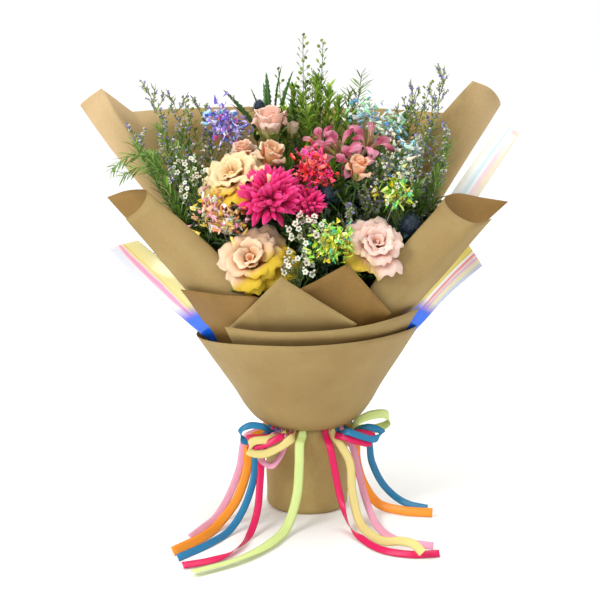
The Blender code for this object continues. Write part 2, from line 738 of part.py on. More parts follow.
# Rings of petals for each stage: count, span, then reach and lift against the radius, curl and ruffle.
ROSE_RINGS = {
    "open": ((3, 150, 0.24, 0.80, 0.05, 0.02), (4, 118, 0.48, 0.76, 0.10, 0.05),
             (5, 92, 0.74, 0.62, 0.30, 0.07), (5, 86, 1.00, 0.40, 0.50, 0.08)),
    "half": ((3, 150, 0.34, 1.30, 0.0, 0.0), (4, 120, 0.62, 1.15, 0.10, 0.03),
             (4, 105, 0.95, 0.80, 0.35, 0.05)),
    "bud": ((3, 150, 0.42, 1.75, 0.0, 0.0), (4, 125, 0.85, 1.45, 0.05, 0.02)),
}
ROSE_DEPTH = {"open": 0.80, "half": 1.3, "bud": 1.75}


@dataclass
class Rose:
    """A rose: its place, the way it faces, its size and how far it has opened."""
    name: str
    place: Vector
    facing: Vector
    radius: float
    stage: str
    colour: str = "peach"

    def frame(self):
        """The frame at the seat of the bloom."""
        axis = self.facing.normalized()
        return Matrix.Translation(self.place - axis * self.depth() * 0.5) @ turned_to(axis)

    def depth(self):
        """How far the bloom stands up from its seat."""
        return self.radius * ROSE_DEPTH[self.stage]

    def build(self):
        """The bloom: its petals round a small core."""
        node = Node(self.name, self.colour)
        frame = self.frame()
        up = frame.to_3x3() @ Vector((0, 0, 1))
        core = self.depth() * 0.62
        node.add(ball(frame.translation + up * (core / 2), up, core, self.radius * 0.17, 6, 3))
        for ring, (count, span, reach, lift, curl, ruffle) in enumerate(ROSE_RINGS[self.stage]):
            for index in range(count):
                azimuth = 360 * index / count + ring * 41
                node.fit(petal(frame, azimuth, span, reach * self.radius, lift * self.radius, curl, ruffle))
        node.finish()

    def calyx(self, node):
        """The green cup under the bloom, with its sepals; gives the place where the stem meets it."""
        frame = self.frame()
        wide = min(self.radius * 0.24, 0.0062)
        bm = bmesh.new()
        bmesh.ops.create_cone(bm, cap_ends=True, segments=5, radius1=0.0012, radius2=wide, depth=wide * 1.5)
        bm.transform(frame @ Matrix.Translation((0, 0, -wide * 0.75 - SEAT)))
        node.add(closed(bm))
        for index in range(5):
            angle = math.tau * (index + 0.5) / 5
            inner = Vector((math.cos(angle) * wide * 0.5, math.sin(angle) * wide * 0.5, -wide * 0.7))
            outer = Vector((math.cos(angle) * wide * 2.5, math.sin(angle) * wide * 2.5, -wide * 0.6))
            node.fit(flare(frame @ inner, frame @ outer, 0.0016))
        return frame @ Vector((0, 0, -wide * 1.3))


ROSES = {rose.name: rose for rose in (
    Rose("rose_front_left", mm(-68, -124, 380), Vector((-0.15, -0.75, 0.65)), 0.068, "open"),
    Rose("rose_front_right", mm(90, -117, 398), Vector((0.05, -0.75, 0.66)), 0.053, "open"),
    Rose("rose_open_left", mm(-104, -76, 472), Vector((-0.35, -0.55, 0.75)), 0.055, "open"),
    Rose("rose_half_left", mm(-51, -56, 502), Vector((-0.10, -0.35, 0.92)), 0.028, "half"),
    Rose("rose_bud_left", mm(-88, -34, 516), Vector((-0.30, -0.20, 0.93)), 0.021, "bud"),
    Rose("rose_bud_top", mm(-50, -2, 541), Vector((-0.15, -0.20, 0.98)), 0.030, "half"),
    Rose("rose_bud_small", mm(-16, 6, 533), Vector((0.10, -0.05, 0.99)), 0.0135, "bud", "cream"),
    Rose("rose_bud_right", mm(68, -78, 490), Vector((0.15, -0.25, 0.95)), 0.022, "bud"),
)}
# The blooms that each rose stem carries.
ROSE_STEMS = {
    "rose_stem_front_left": ("rose_front_left",),
    "rose_stem_front_right": ("rose_front_right",),
    "rose_stem_left": ("rose_open_left", "rose_half_left", "rose_bud_left"),
    "rose_stem_top": ("rose_bud_top", "rose_bud_small"),
    "rose_stem_right": ("rose_bud_right",),
}
# Place, radius and number of florets.
MAGENTA_HEADS = {
    "magenta_head_left": (mm(-50, -100, 452), 0.038, 27),
    "magenta_head_right": (mm(1, -104, 447), 0.021, 16),
}
ALSTROEMERIA = ((mm(40, -48, 512), Vector((-0.2, -0.6, 0.75)), 0.033),
                (mm(84, -30, 520), Vector((0.35, -0.45, 0.8)), 0.032))
# Place and radius of each cone.
THISTLES = {
    "thistle_centre": (mm(26, -89, 459), 0.0085),
    "thistle_right": (mm(137, -72, 414), 0.0105),
    "thistle_top": (mm(-66, 28, 570), 0.0080),
}
SPINES = 11
BRACTS = 9
LEAFLETS = 14
# Tip, how far the spray reaches from its stem, and how many repeats it carries.
WAXFLOWERS = {
    "waxflower_centre": (mm(2, -132, 412), 0.030, 8),
    "waxflower_left": (mm(-166, -32, 480), 0.032, 7),
    "waxflower_right": (mm(108, -45, 474), 0.036, 8),
}
SEA_LAVENDERS = {
    "sea_lavender_left_high": (mm(-218, 4, 590), 0.046, 5),
    "sea_lavender_left_low": (mm(-236, -18, 536), 0.044, 5),
    "sea_lavender_right_high": (mm(190, 0, 610), 0.046, 5),
    "sea_lavender_right_low": (mm(182, -14, 520), 0.044, 5),
    "sea_lavender_centre": (mm(86, -60, 456), 0.038, 5),
}
PENNYCRESSES = {
    "pennycress_top": (mm(-6, 70, 658), 13),
    "pennycress_left": (mm(-172, 40, 574), 10),
    "pennycress_right": (mm(172, 36, 596), 10),
}
FOLIAGE = {
    "foliage_long_leaves": mm(-72, 52, 590),
    "foliage_leafy_left": mm(-228, -36, 484),
    "foliage_green_centre": mm(14, 44, 575),
    "foliage_ferny_right": mm(74, 56, 606),
}
# Azimuth, height on the stem, length and steepness of each long toothed leaf.
LONG_LEAVES = (
    (-150, 0.53, 0.085, 4.0), (60, 0.53, 0.080, 4.0), (-80, 0.535, 0.075, 1.6), (20, 0.50, 0.060, 2.0),
    (150, 0.49, 0.060, 2.0), (-30, 0.46, 0.055, 1.2),
)
TINSELS = {
    "tinsel_purple": (mm(-122, 0, 545), 0.032, 14),
    "tinsel_gold": (mm(-122, -102, 442), 0.030, 14),
    "tinsel_red": (mm(12, -74, 500), 0.027, 12),
    "tinsel_white": (mm(112, 4, 540), 0.032, 14),
    "tinsel_lime": (mm(36, -132, 404), 0.027, 12),
}


def plants():
    """Every stem in the bundle by name, with its root settled."""
    found = {}
    for name, blooms in ROSE_STEMS.items():
        low = [ROSES[bloom].frame() @ Vector((0, 0, -0.012)) for bloom in blooms]
        found[name] = Plant(name, sum(low, Vector()) / len(low), 0.0017)
    centre = sum((head[0] for head in MAGENTA_HEADS.values()), Vector()) / 2
    found["magenta_stem"] = Plant("magenta_stem", centre - mm(0, -14, 40), 0.0016)
    centre = (ALSTROEMERIA[0][0] + ALSTROEMERIA[1][0]) / 2
    found["alstroemeria_stem"] = Plant("alstroemeria_stem", centre - mm(0, -20, 40), 0.0016)
    for name, (place, radius) in THISTLES.items():
        found[name] = Plant(name, place - mm(0, 0, radius * 900), 0.0013)
    for name, (tip, *_) in (WAXFLOWERS | SEA_LAVENDERS | PENNYCRESSES | TINSELS).items():
        found[name] = Plant(name, tip)
    for name, tip in FOLIAGE.items():
        found[name] = Plant(name, tip)
    settle(list(found.values()))
    return found


def build_rose_stems(bundle):
    """Rose stems with their calyxes, forked where a stem carries more than one bloom."""
    for name, blooms in ROSE_STEMS.items():
        plant = bundle[name]
        node = Node(name, "stem_green")
        fork = plant.tip.z - 0.012 if len(blooms) == 1 else plant.tip.z - 0.075
        node.add(plant.stem(fork))
        for bloom in blooms:
            seat = ROSES[bloom].calyx(node)
            node.add(rod([plant.at(fork - 0.004), seat], (0.0012, 0.0012)))
        rng = random.Random(name)
        start = plant.at(fork * 0.82)
        node.fit(leaf(start, around(1.0, rng.uniform(0, 360), 0.7), UP, 0.036, 0.018, 3, tooth=0.3))
        node.finish()


def build_magenta(bundle):
    """Two heads of dense spoon-like florets and their forked stem."""
    plant = bundle["magenta_stem"]
    seats = []
    for name, (place, radius, count) in MAGENTA_HEADS.items():
        node = Node(name, "magenta")
        facing = Vector((place.x * 1.2, -0.55, 0.85)).normalized()
        frame = Matrix.Translation(place) @ turned_to(facing)
        node.add(ball(place, facing, radius * 1.1, radius * 0.66, 7, 4))
        for index in range(count):
            out = spiral(index, count, 0.97, -0.25)
            out.z *= 0.72
            node.fit(flare(frame @ (out * radius * 0.42), frame @ (out * radius), radius * 0.17, 4, 0.6))
        node.finish()
        seats.append(place - facing * (radius * 0.55 + SEAT + 0.0002))
    node = Node("magenta_stem", "stem_green")
    node.add(plant.stem())
    for seat in seats:
        node.add(rod([plant.at(plant.tip.z - 0.004), seat], (0.0013, 0.0011)))
    rng = random.Random("magenta")
    for _ in range(4):
        start = plant.at(plant.tip.z - rng.uniform(0.0, 0.07))
        node.fit(leaf(start, around(1.0, rng.uniform(-120, 120), 0.5), UP, 0.034, 0.011))
    node.finish()


def build_alstroemeria(bundle):
    """Two open alstroemeria flowers fused at their tubes, on one stem."""
    plant = bundle["alstroemeria_stem"]
    node = Node("alstroemeria_bloom", "dusky_pink")
    hub = (ALSTROEMERIA[0][0] + ALSTROEMERIA[1][0]) / 2 - mm(0, -14, 24)
    node.add(ball(hub, UP, 0.014, 0.005, 6, 3))
    for place, facing, radius in ALSTROEMERIA:
        axis = facing.normalized()
        frame = Matrix.Translation(place - axis * radius * 0.35) @ turned_to(axis)
        throat = frame @ Vector((0, 0, 0.003))
        deep = frame @ Vector((0, 0, -0.002))
        node.add(rod([hub, throat], (0.0026, 0.0034)))
        for index in range(6):
            narrow = index % 2
            node.fit(petal(frame, index * 60, 34 if narrow else 56, radius * (0.95 if narrow else 1.0),
                           radius * (0.9 if narrow else 0.7), 0.35, 0.0, 0.0, 0.05))
        for index in range(3):
            node.fit(flare(deep, frame @ around(radius * 0.22, index * 120 + 30, radius * 0.85), 0.0009))
    node.finish()
    stem = Node("alstroemeria_stem", "stem_green")
    end = hub - Vector((0, 0, 0.007 + SEAT + 0.0002))
    stem.add(plant.stem(plant.tip.z - 0.02))
    stem.add(rod([plant.at(plant.tip.z - 0.022), end], (0.0012, 0.0010)))
    rng = random.Random("alstroemeria")
    for _ in range(4):
        start = plant.at(plant.tip.z - rng.uniform(0.03, 0.16))
        stem.fit(leaf(start, around(1.0, rng.uniform(0, 360), 0.8), UP, 0.05, 0.011))
    stem.finish()


def build_thistles(bundle):
    """Blue thistles: a spiny cone over a ring of long spiny bracts, on a blue-green stem."""
    for name, (place, radius) in THISTLES.items():
        node = Node(name, "thistle_blue")
        axis = Vector((place.x * 0.8, -0.35 if place.y < 0 else -0.05, 0.9)).normalized()
        frame = Matrix.Translation(place) @ turned_to(axis)
        node.add(bundle[name].stem())
        node.add(ball(place, axis, radius * 2.6, radius, 6, 4))
        for index in range(SPINES):
            out = spiral(index, SPINES, 0.95, -0.3)
            root = frame @ Vector((out.x * radius * 0.6, out.y * radius * 0.6, out.z * radius * 0.9))
            tip = frame @ Vector((out.x * radius * 1.5, out.y * radius * 1.5, out.z * radius * 1.7))
            node.fit(needle(root, tip, 0.0016))
        for index in range(BRACTS):
            out = around(1.0, 360 * index / BRACTS, 0.25)
            base = frame @ Vector((out.x * radius * 0.4, out.y * radius * 0.4, -radius * 0.8))
            out = frame.to_3x3() @ out
            node.fit(leaf(base, out, axis, radius * 2.7, radius * 0.85, 4, 0.1, 0.0, 1.1))
        node.finish()


def branches(node, plant, rng, count, low, high, length):
    """Fine side branches off a stem, kept clear of other nodes; gives each one's root and tip."""
    kept = [(plant.at(high - length * 0.6), plant.at(high))]
    for index in range(count):
        for _ in range(6):
            z = low + (high - low) * (index + rng.random() * 0.6) / count
            start = plant.at(z)
            out = around(1.0, index * 137.5 + rng.uniform(-40, 40), 1.0 + rng.random()).normalized()
            end = start + out * length * (1.1 - 0.5 * (z - low) / (high - low)) * rng.uniform(0.8, 1.1)
            if node.fit(needle(start, end, 0.0011)):
                kept.append((start, end))
                break
    return kept


def build_waxflower(name, plant, reach, count):
    """A waxflower spray: five-lobed white blossoms on thin branches."""
    node = Node(name, "white")
    rng = random.Random(name)
    node.add(plant.stem())
    top = plant.tip.z
    runs = branches(node, plant, rng, 4, top - 1.8 * reach, top, reach)
    for index in range(count):
        start, end = runs[index % len(runs)]
        for _ in range(8):
            root = start.lerp(end, rng.uniform(0.35, 0.95))
            facing = Vector((rng.uniform(-0.7, 0.7), rng.uniform(-1.0, 0.1), rng.uniform(0.3, 1.0)))
            facing.normalize()
            if node.fit(blossom(root, root + facing * rng.uniform(0.006, 0.010), facing, 0.0057), apart=True):
                break
    node.finish()


def build_sea_lavender(name, plant, reach, count):
    """A sea-lavender spray: small purple trumpets massed along fine branches."""
    node = Node(name, "purple")
    rng = random.Random(name)
    node.add(plant.stem())
    top = plant.tip.z
    for start, end in branches(node, plant, rng, count, top - 2.2 * reach, top, reach):
        for index in range(2):
            for _ in range(6):
                root = start.lerp(end, 0.97 - 0.34 * index - 0.12 * rng.random())
                out = around(1.0, rng.uniform(0, 360), rng.uniform(-0.2, 1.2))
                out += (end - start).normalized() * 0.6
                if node.fit(flare(root, root + out.normalized() * 0.0075, 0.0024), apart=True):
                    break
    node.finish()


def build_pennycress(name, plant, pods):
    """A tall stalk with flat round seed pods that narrow to their stalks."""
    node = Node(name, "pod_green")
    rng = random.Random(name)
    node.add(plant.stem(steps=3))
    for index in range(pods):
        for _ in range(6):
            root = plant.at(plant.tip.z - 0.002 - 0.105 * index / pods)
            out = around(1.0, index * 137.5 + rng.uniform(-50, 50), 0.8).normalized()
            if node.fit(pod(root, root + out * 0.0125, out.cross(UP).normalized(), 0.0042)):
                break
    node.finish()


def build_foliage(bundle):
    """Green leaves between and above the blooms."""
    plant = bundle["foliage_long_leaves"]
    node = Node(plant.name, "leaf_green")
    node.add(plant.stem(plant.tip.z - 0.02))
    for azimuth, z, length, steep in LONG_LEAVES:
        above = around(1.0, azimuth + 180, 0.2)
        for turn in range(8):
            out = around(1.0, azimuth + turn * 25, steep)
            if node.fit(leaf(plant.at(z), out, above, length, 0.014, 6, 0.05, 0.1, 0.45)):
                break
    node.finish()
    for name, count, low, length, width, lean in (
        ("foliage_leafy_left", 12, 0.30, 0.040, 0.013, 0.7),
        ("foliage_green_centre", 12, 0.36, 0.050, 0.018, 1.2),
    ):
        plant = bundle[name]
        rng = random.Random(name)
        node = Node(name, "leaf_green")
        node.add(plant.stem())
        for index in range(count):
            for _ in range(8):
                start = plant.at(low + (plant.tip.z - 0.004 - low) * (index + rng.random() * 0.5) / count)
                out = around(1.0, index * 137.5 + rng.uniform(-60, 60), lean)
                if node.fit(leaf(start, out, UP, length * rng.uniform(0.8, 1.15), width)):
                    break
        node.finish()
    plant = bundle["foliage_ferny_right"]
    node = Node(plant.name, "leaf_green")
    rng = random.Random(plant.name)
    node.add(plant.stem())
    for index in range(LEAFLETS):
        share = index / LEAFLETS
        start = plant.at(plant.tip.z - 0.003 - 0.14 * share)
        side = 90 if index % 2 else -90
        for _ in range(4):
            out = around(1.0, side + rng.uniform(-30, 30), 1.1)
            if node.fit(leaf(start, out, Vector((0, -1, 0.2)), 0.014 + 0.022 * share, 0.0055, 2, 0.05, 0.0)):
                break
    node.finish()


def build_tinsel(name, plant, reach, shards):
    """A spray of tinsel: flat glittering slivers round the top of a thin stalk."""
    node = Node(name, name)
    rng = random.Random(name)
    node.add(plant.stem())
    for index in range(shards):
        for _ in range(8):
            start = plant.at(plant.tip.z - reach * 1.1 * rng.random())
            out = spiral(index, shards, 0.95, -0.35)
            out += Vector((rng.uniform(-0.3, 0.3), rng.uniform(-0.3, 0.3), 0.1))
            end = start + out.normalized() * reach * rng.uniform(0.75, 1.15)
            if node.fit(flare(start, end, 0.0028, 3, 0.35)):
                break
    node.finish()


def build_flowers():
    """Every bloom, spray and stem, the large ones first so that the small ones fill the gaps between them."""
    bundle = plants()
    for rose in ROSES.values():
        rose.build()
    build_rose_stems(bundle)
    build_magenta(bundle)
    build_alstroemeria(bundle)
    build_thistles(bundle)
    for table, build in ((WAXFLOWERS, build_waxflower), (TINSELS, build_tinsel),
                         (PENNYCRESSES, build_pennycress), (SEA_LAVENDERS, build_sea_lavender)):
        for name, (_, *sizes) in table.items():
            build(name, bundle[name], *sizes)
    build_foliage(bundle)


def main():
    """Builds the bouquet from its foot up."""
    build_foot()
    build_wrap()
    build_ribbons()
    build_flowers()


for leftover in list(bpy.data.objects):
    bpy.data.objects.remove(leftover)
PARTS = bpy.data.collections.new("flower_bouquet")
bpy.context.scene.collection.children.link(PARTS)
main()
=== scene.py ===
"""Looks of a wrapped flower bouquet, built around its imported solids.

The bouquet faces -Y and stands on its paper-wrapped foot, whose underside is centred on the origin.
Lengths are in metres; a place written in millimetres goes through mm().
"""

from __future__ import annotations

import json
import logging
import math
import random
from dataclasses import dataclass, field
from enum import Enum
from typing import Callable, Sequence

import bpy
import numpy as np
from mathutils import Matrix, Vector, noise
from mathutils.bvhtree import BVHTree

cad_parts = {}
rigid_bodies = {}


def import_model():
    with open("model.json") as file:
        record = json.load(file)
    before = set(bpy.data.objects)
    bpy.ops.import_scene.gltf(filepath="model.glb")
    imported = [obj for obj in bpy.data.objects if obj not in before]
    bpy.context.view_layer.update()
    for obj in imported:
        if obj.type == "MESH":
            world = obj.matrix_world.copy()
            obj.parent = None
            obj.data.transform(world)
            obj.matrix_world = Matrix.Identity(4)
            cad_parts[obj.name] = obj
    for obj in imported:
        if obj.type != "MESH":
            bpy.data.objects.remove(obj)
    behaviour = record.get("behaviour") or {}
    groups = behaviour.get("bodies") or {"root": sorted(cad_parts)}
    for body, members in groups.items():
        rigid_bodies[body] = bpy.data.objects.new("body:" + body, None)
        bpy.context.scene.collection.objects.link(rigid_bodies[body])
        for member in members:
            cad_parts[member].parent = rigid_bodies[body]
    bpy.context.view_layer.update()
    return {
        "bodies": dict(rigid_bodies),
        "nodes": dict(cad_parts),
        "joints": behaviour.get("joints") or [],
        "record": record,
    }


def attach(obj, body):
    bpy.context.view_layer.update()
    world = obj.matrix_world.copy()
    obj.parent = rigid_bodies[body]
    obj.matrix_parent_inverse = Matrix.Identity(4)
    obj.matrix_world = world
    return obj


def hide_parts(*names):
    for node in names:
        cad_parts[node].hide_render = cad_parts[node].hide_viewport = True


log = logging.getLogger("bouquet")

BODY = "root"
UP = Vector((0.0, 0.0, 1.0))
PAPER = 0.0005
FORK_Z = 0.124
BORE_FLOOR = 0.0145
BUNDLE_RADIUS = 0.0195
# How far from the axis a stem that leans by 45 degrees above the fork stands in the bundle.
ROOT_REACH = 0.034
NECK_Z = 0.112
# Places deep in the bundle, low and high, from which a wall is seen from its inner side.
HEARTS = (Vector((0.0, 0.0, 0.165)), Vector((0.0, -0.03, 0.470)))
# The golden angle in degrees, from one leaf or branch on a stem to the next.
NEXT_TURN = 137.5
# Where the ribbons' faces look, and how the bands of their loops lean.
VIEWER = Vector((0.0, -0.94, 0.34))
LOOP_LEAN = Vector((0.12, 0.55, 0.83))
BLOOM_ENDINGS = ("_petals", "_florets", "alstroemeria_flowers")

Place = Callable[[float, float], Vector]
Colour = tuple[float, float, float, float]
Socket = bpy.types.NodeSocket
Value = float | Socket


def mm(x: float, y: float, z: float) -> Vector:
    """A place given in millimetres, in metres."""
    return Vector((x, y, z)) / 1000.0


def places(*rows: tuple[float, float, float]) -> tuple[Vector, ...]:
    """Places given in millimetres, in metres."""
    return tuple(mm(*row) for row in rows)


def around(radius: float, azimuth: float, z: float) -> Vector:
    """A place round the upright axis; azimuth 0 is the front and 90 the right, in degrees."""
    angle = math.radians(azimuth)
    return Vector((radius * math.sin(angle), -radius * math.cos(angle), z))


def arc(radius: float, start: float, end: float, z: float, count: int) -> list[Vector]:
    """Places along an arc round the upright axis."""
    return [around(radius, start + (end - start) * i / (count - 1), z) for i in range(count)]


def heading(before: Vector, place: Vector, after: Vector) -> Vector:
    """The way a curve runs at a place between two others, leaning to the nearer one.

    Args:
        before: The place before it.
        place: The place.
        after: The place after it.

    Returns:
        The direction, of about unit length.
    """
    first, second = place - before, after - place
    leaning = first.normalized() * second.length + second.normalized() * first.length
    return leaning / max(first.length + second.length, 1e-9)


def smooth(points: Sequence[Vector], t: float, corners: Sequence[int] = ()) -> Vector:
    """The place on a smooth curve through points whose spans may differ in length.

    Args:
        points: The places that the curve runs through.
        t: How far along the curve, from 0 to 1.
        corners: Which of the points are sharp corners.

    Returns:
        The place there.
    """
    spans = len(points) - 1
    at = min(max(t, 0.0), 1.0) * spans
    index = min(int(at), spans - 1)
    local = at - index
    a, b = points[index], points[index + 1]
    before = points[index - 1] if index else a * 2 - b
    after = points[index + 2] if index + 2 <= spans else b * 2 - a
    span = (b - a).length
    leave = b - a if index in corners else heading(before, a, b) * span
    arrive = b - a if index + 1 in corners else heading(a, b, after) * span
    bend = b * 3 - a * 3 - leave * 2 - arrive
    return a + leave * local + bend * local**2 + (a * 2 - b * 2 + leave + arrive) * local**3


def straight(points: Sequence[Vector], t: float) -> Vector:
    """The place on the straight-edged line through points.

    Args:
        points: The corners of the line.
        t: How far along it, from 0 to 1.

    Returns:
        The place there.
    """
    at = min(max(t, 0.0), 1.0) * (len(points) - 1)
    index = min(int(at), len(points) - 2)
    return points[index].lerp(points[index + 1], at - index)


def turned_to(axis: Vector) -> Matrix:
    """The rotation that turns +Z onto an axis."""
    return axis.to_track_quat("Z", "Y").to_matrix().to_4x4()


def standing(place: Vector, axis: Vector, spin: float = 0.0, size: float = 1.0) -> Matrix:
    """The frame of a form that stands at a place along an axis.

    Args:
        place: Where the form's origin goes.
        axis: Where its +Z points.
        spin: Its turn about that axis, in degrees.
        size: How much it is scaled.

    Returns:
        The form's matrix.
    """
    turn = Matrix.Rotation(math.radians(spin), 4, "Z")
    return Matrix.Translation(place) @ turned_to(axis) @ turn @ Matrix.Scale(size, 4)


def outside(wall: BVHTree, place: Vector) -> bool:
    """Whether a wall stands between a place and both the low and the high heart of the bundle."""
    return all(wall.ray_cast(heart, (place - heart).normalized(), (place - heart).length)[0] is not None
               for heart in HEARTS)


def before_end(line: Sequence[Vector], distance: float) -> tuple[Vector, Vector]:
    """The place on a line at a distance before its end, and the way the line runs there.

    Args:
        line: The places of the line.
        distance: How far before its end.

    Returns:
        The place and the direction.
    """
    for b, a in zip(line[::-1], line[-2::-1]):
        step = (b - a).length
        if distance <= step:
            return b.lerp(a, distance / step), (b - a).normalized()
        distance -= step
    return line[0], (line[1] - line[0]).normalized()


def drawn(rng: random.Random, *ranges: tuple[float, float]) -> Vector:
    """A vector whose axes are each drawn from a range."""
    return Vector([rng.uniform(*ends) for ends in ranges])


def spiral(index: int, count: int, start: float, end: float) -> Vector:
    """Even directions over a dome, by the golden angle.

    Args:
        index: Which of the directions.
        count: How many there are.
        start: Height of the first on a unit ball.
        end: Height of the last.

    Returns:
        The direction, of unit length.
    """
    height = start + (end - start) * (index + 0.5) / count
    angle = index * math.pi * (3 - math.sqrt(5))
    reach = math.sqrt(max(0.0, 1 - height * height))
    return Vector((reach * math.cos(angle), reach * math.sin(angle), height))


# Modelling

def deselect() -> None:
    """Leaves nothing selected, so that an operator acts on its own piece alone."""
    bpy.ops.object.select_all(action="DESELECT")


def applied(piece: bpy.types.Object, kind: str, **settings: object) -> None:
    """Adds a modifier to the active piece and applies it.

    Args:
        piece: The piece, which is active.
        kind: The modifier's type.
        **settings: Its settings.
    """
    modifier = piece.modifiers.new(kind.title(), kind)
    for name, value in settings.items():
        setattr(modifier, name, value)
    bpy.ops.object.modifier_apply(modifier=modifier.name)


def bent_grid(name: str, place: Place, columns: int, steps: int, thickness: float = 0.0,
              welded: bool = False, reverse: int = 0) -> bpy.types.Object:
    """A grid primitive bent to a surface, then given its thickness.

    Args:
        name: The piece's name.
        place: Gives the place on the surface at u and v, both from 0 to 1.
        columns: Faces along u.
        steps: Faces along v.
        thickness: The sheet's thickness; none for 0.
        welded: Whether places that meet, such as a seam or a pole, are merged.
        reverse: How many slots further the material of the sheet's other side lies.

    Returns:
        The piece, whose UV map holds u and v.
    """
    deselect()
    bpy.ops.mesh.primitive_grid_add(x_subdivisions=columns, y_subdivisions=steps, size=1.0, calc_uvs=True)
    piece = bpy.context.object
    piece.name = name
    for vert in piece.data.vertices:
        vert.co = place(vert.co.x + 0.5, vert.co.y + 0.5)
    if welded:
        bpy.ops.object.mode_set(mode="EDIT")
        bpy.ops.mesh.select_all(action="SELECT")
        bpy.ops.mesh.remove_doubles(threshold=2e-6)
        bpy.ops.object.mode_set(mode="OBJECT")
    if thickness:
        for _ in range(reverse + 1 if reverse else 0):
            piece.data.materials.append(None)
        applied(piece, "SOLIDIFY", thickness=thickness, offset=-1.0, use_even_offset=False,
                material_offset=reverse)
    piece.data.shade_smooth()
    return piece


@dataclass(frozen=True)
class Form:
    """One modelled shape as arrays, ready to be copied many times into a piece."""

    places: np.ndarray
    loops: np.ndarray
    starts: np.ndarray
    uvs: np.ndarray

    @staticmethod
    def taken(piece: bpy.types.Object) -> "Form":
        """Reads a modelled piece into arrays and removes it.

        Args:
            piece: The modelled piece.

        Returns:
            Its shape.
        """
        mesh = piece.data
        places = np.empty(len(mesh.vertices) * 3, np.float32)
        mesh.vertices.foreach_get("co", places)
        loops = np.empty(len(mesh.loops), np.int32)
        mesh.loops.foreach_get("vertex_index", loops)
        starts = np.empty(len(mesh.polygons), np.int32)
        mesh.polygons.foreach_get("loop_start", starts)
        uvs = np.zeros(len(mesh.loops) * 2, np.float32)
        if mesh.uv_layers:
            mesh.uv_layers.active.data.foreach_get("uv", uvs)
        bpy.data.objects.remove(piece)
        return Form(places.reshape(-1, 3), loops, starts, uvs.reshape(-1, 2))

    @staticmethod
    def grid(place: Place, columns: int, steps: int, thickness: float, welded: bool = False) -> "Form":
        """A form made from a bent grid; its arguments are those of bent_grid."""
        return Form.taken(bent_grid("form", place, columns, steps, thickness, welded))

    @staticmethod
    def drop(segments: int, rings: int, reshape: Callable[[Vector], Vector]) -> "Form":
        """A form made from a ball primitive whose places are moved.

        Args:
            segments: Faces round the ball.
            rings: Faces from pole to pole.
            reshape: Gives each place of the unit ball its new place.

        Returns:
            The form.
        """
        deselect()
        bpy.ops.mesh.primitive_uv_sphere_add(segments=segments, ring_count=rings, radius=1.0)
        piece = bpy.context.object
        for vert in piece.data.vertices:
            vert.co = reshape(vert.co.copy())
        return Form.taken(piece)

    def polygons(self) -> list[list[int]]:
        """The faces as lists of corner numbers."""
        ends = np.append(self.starts[1:], len(self.loops))
        return [self.loops[start:end].tolist() for start, end in zip(self.starts, ends)]

    def moved(self, matrix: Matrix) -> np.ndarray:
        """The form's places under a matrix."""
        turn = np.array(matrix.to_3x3())
        return self.places @ turn.T + np.array(matrix.translation)


class Stalks:
    """Thin stems and branches, gathered as one bevelled curve."""

    def __init__(self) -> None:
        """Starts with no stem."""
        self.runs: list[tuple[list[Vector], float, float]] = []

    def add(self, points: Sequence[Vector], low: float, high: float) -> None:
        """Keeps a stem.

        Args:
            points: The places that it runs through.
            low: Its radius at the first.
            high: Its radius at the last.
        """
        self.runs.append((list(points), low, high))

    def form(self, sides: int = 1) -> Form:
        """The stems as one form.

        Args:
            sides: The curve's bevel resolution.

        Returns:
            The form, with closed ends.
        """
        curve = bpy.data.curves.new("stalks", "CURVE")
        curve.dimensions = "3D"
        curve.bevel_depth = 1.0
        curve.bevel_resolution = sides
        curve.use_fill_caps = True
        for points, low, high in self.runs:
            spline = curve.splines.new("POLY")
            spline.points.add(len(points) - 1)
            for index, place in enumerate(points):
                spline.points[index].co = (*place, 1.0)
                spline.points[index].radius = low + (high - low) * index / (len(points) - 1)
        piece = bpy.data.objects.new("stalks", curve)
        bpy.context.scene.collection.objects.link(piece)
        deselect()
        piece.select_set(True)
        bpy.context.view_layer.objects.active = piece
        bpy.ops.object.convert(target="MESH")
        return Form.taken(bpy.context.object)


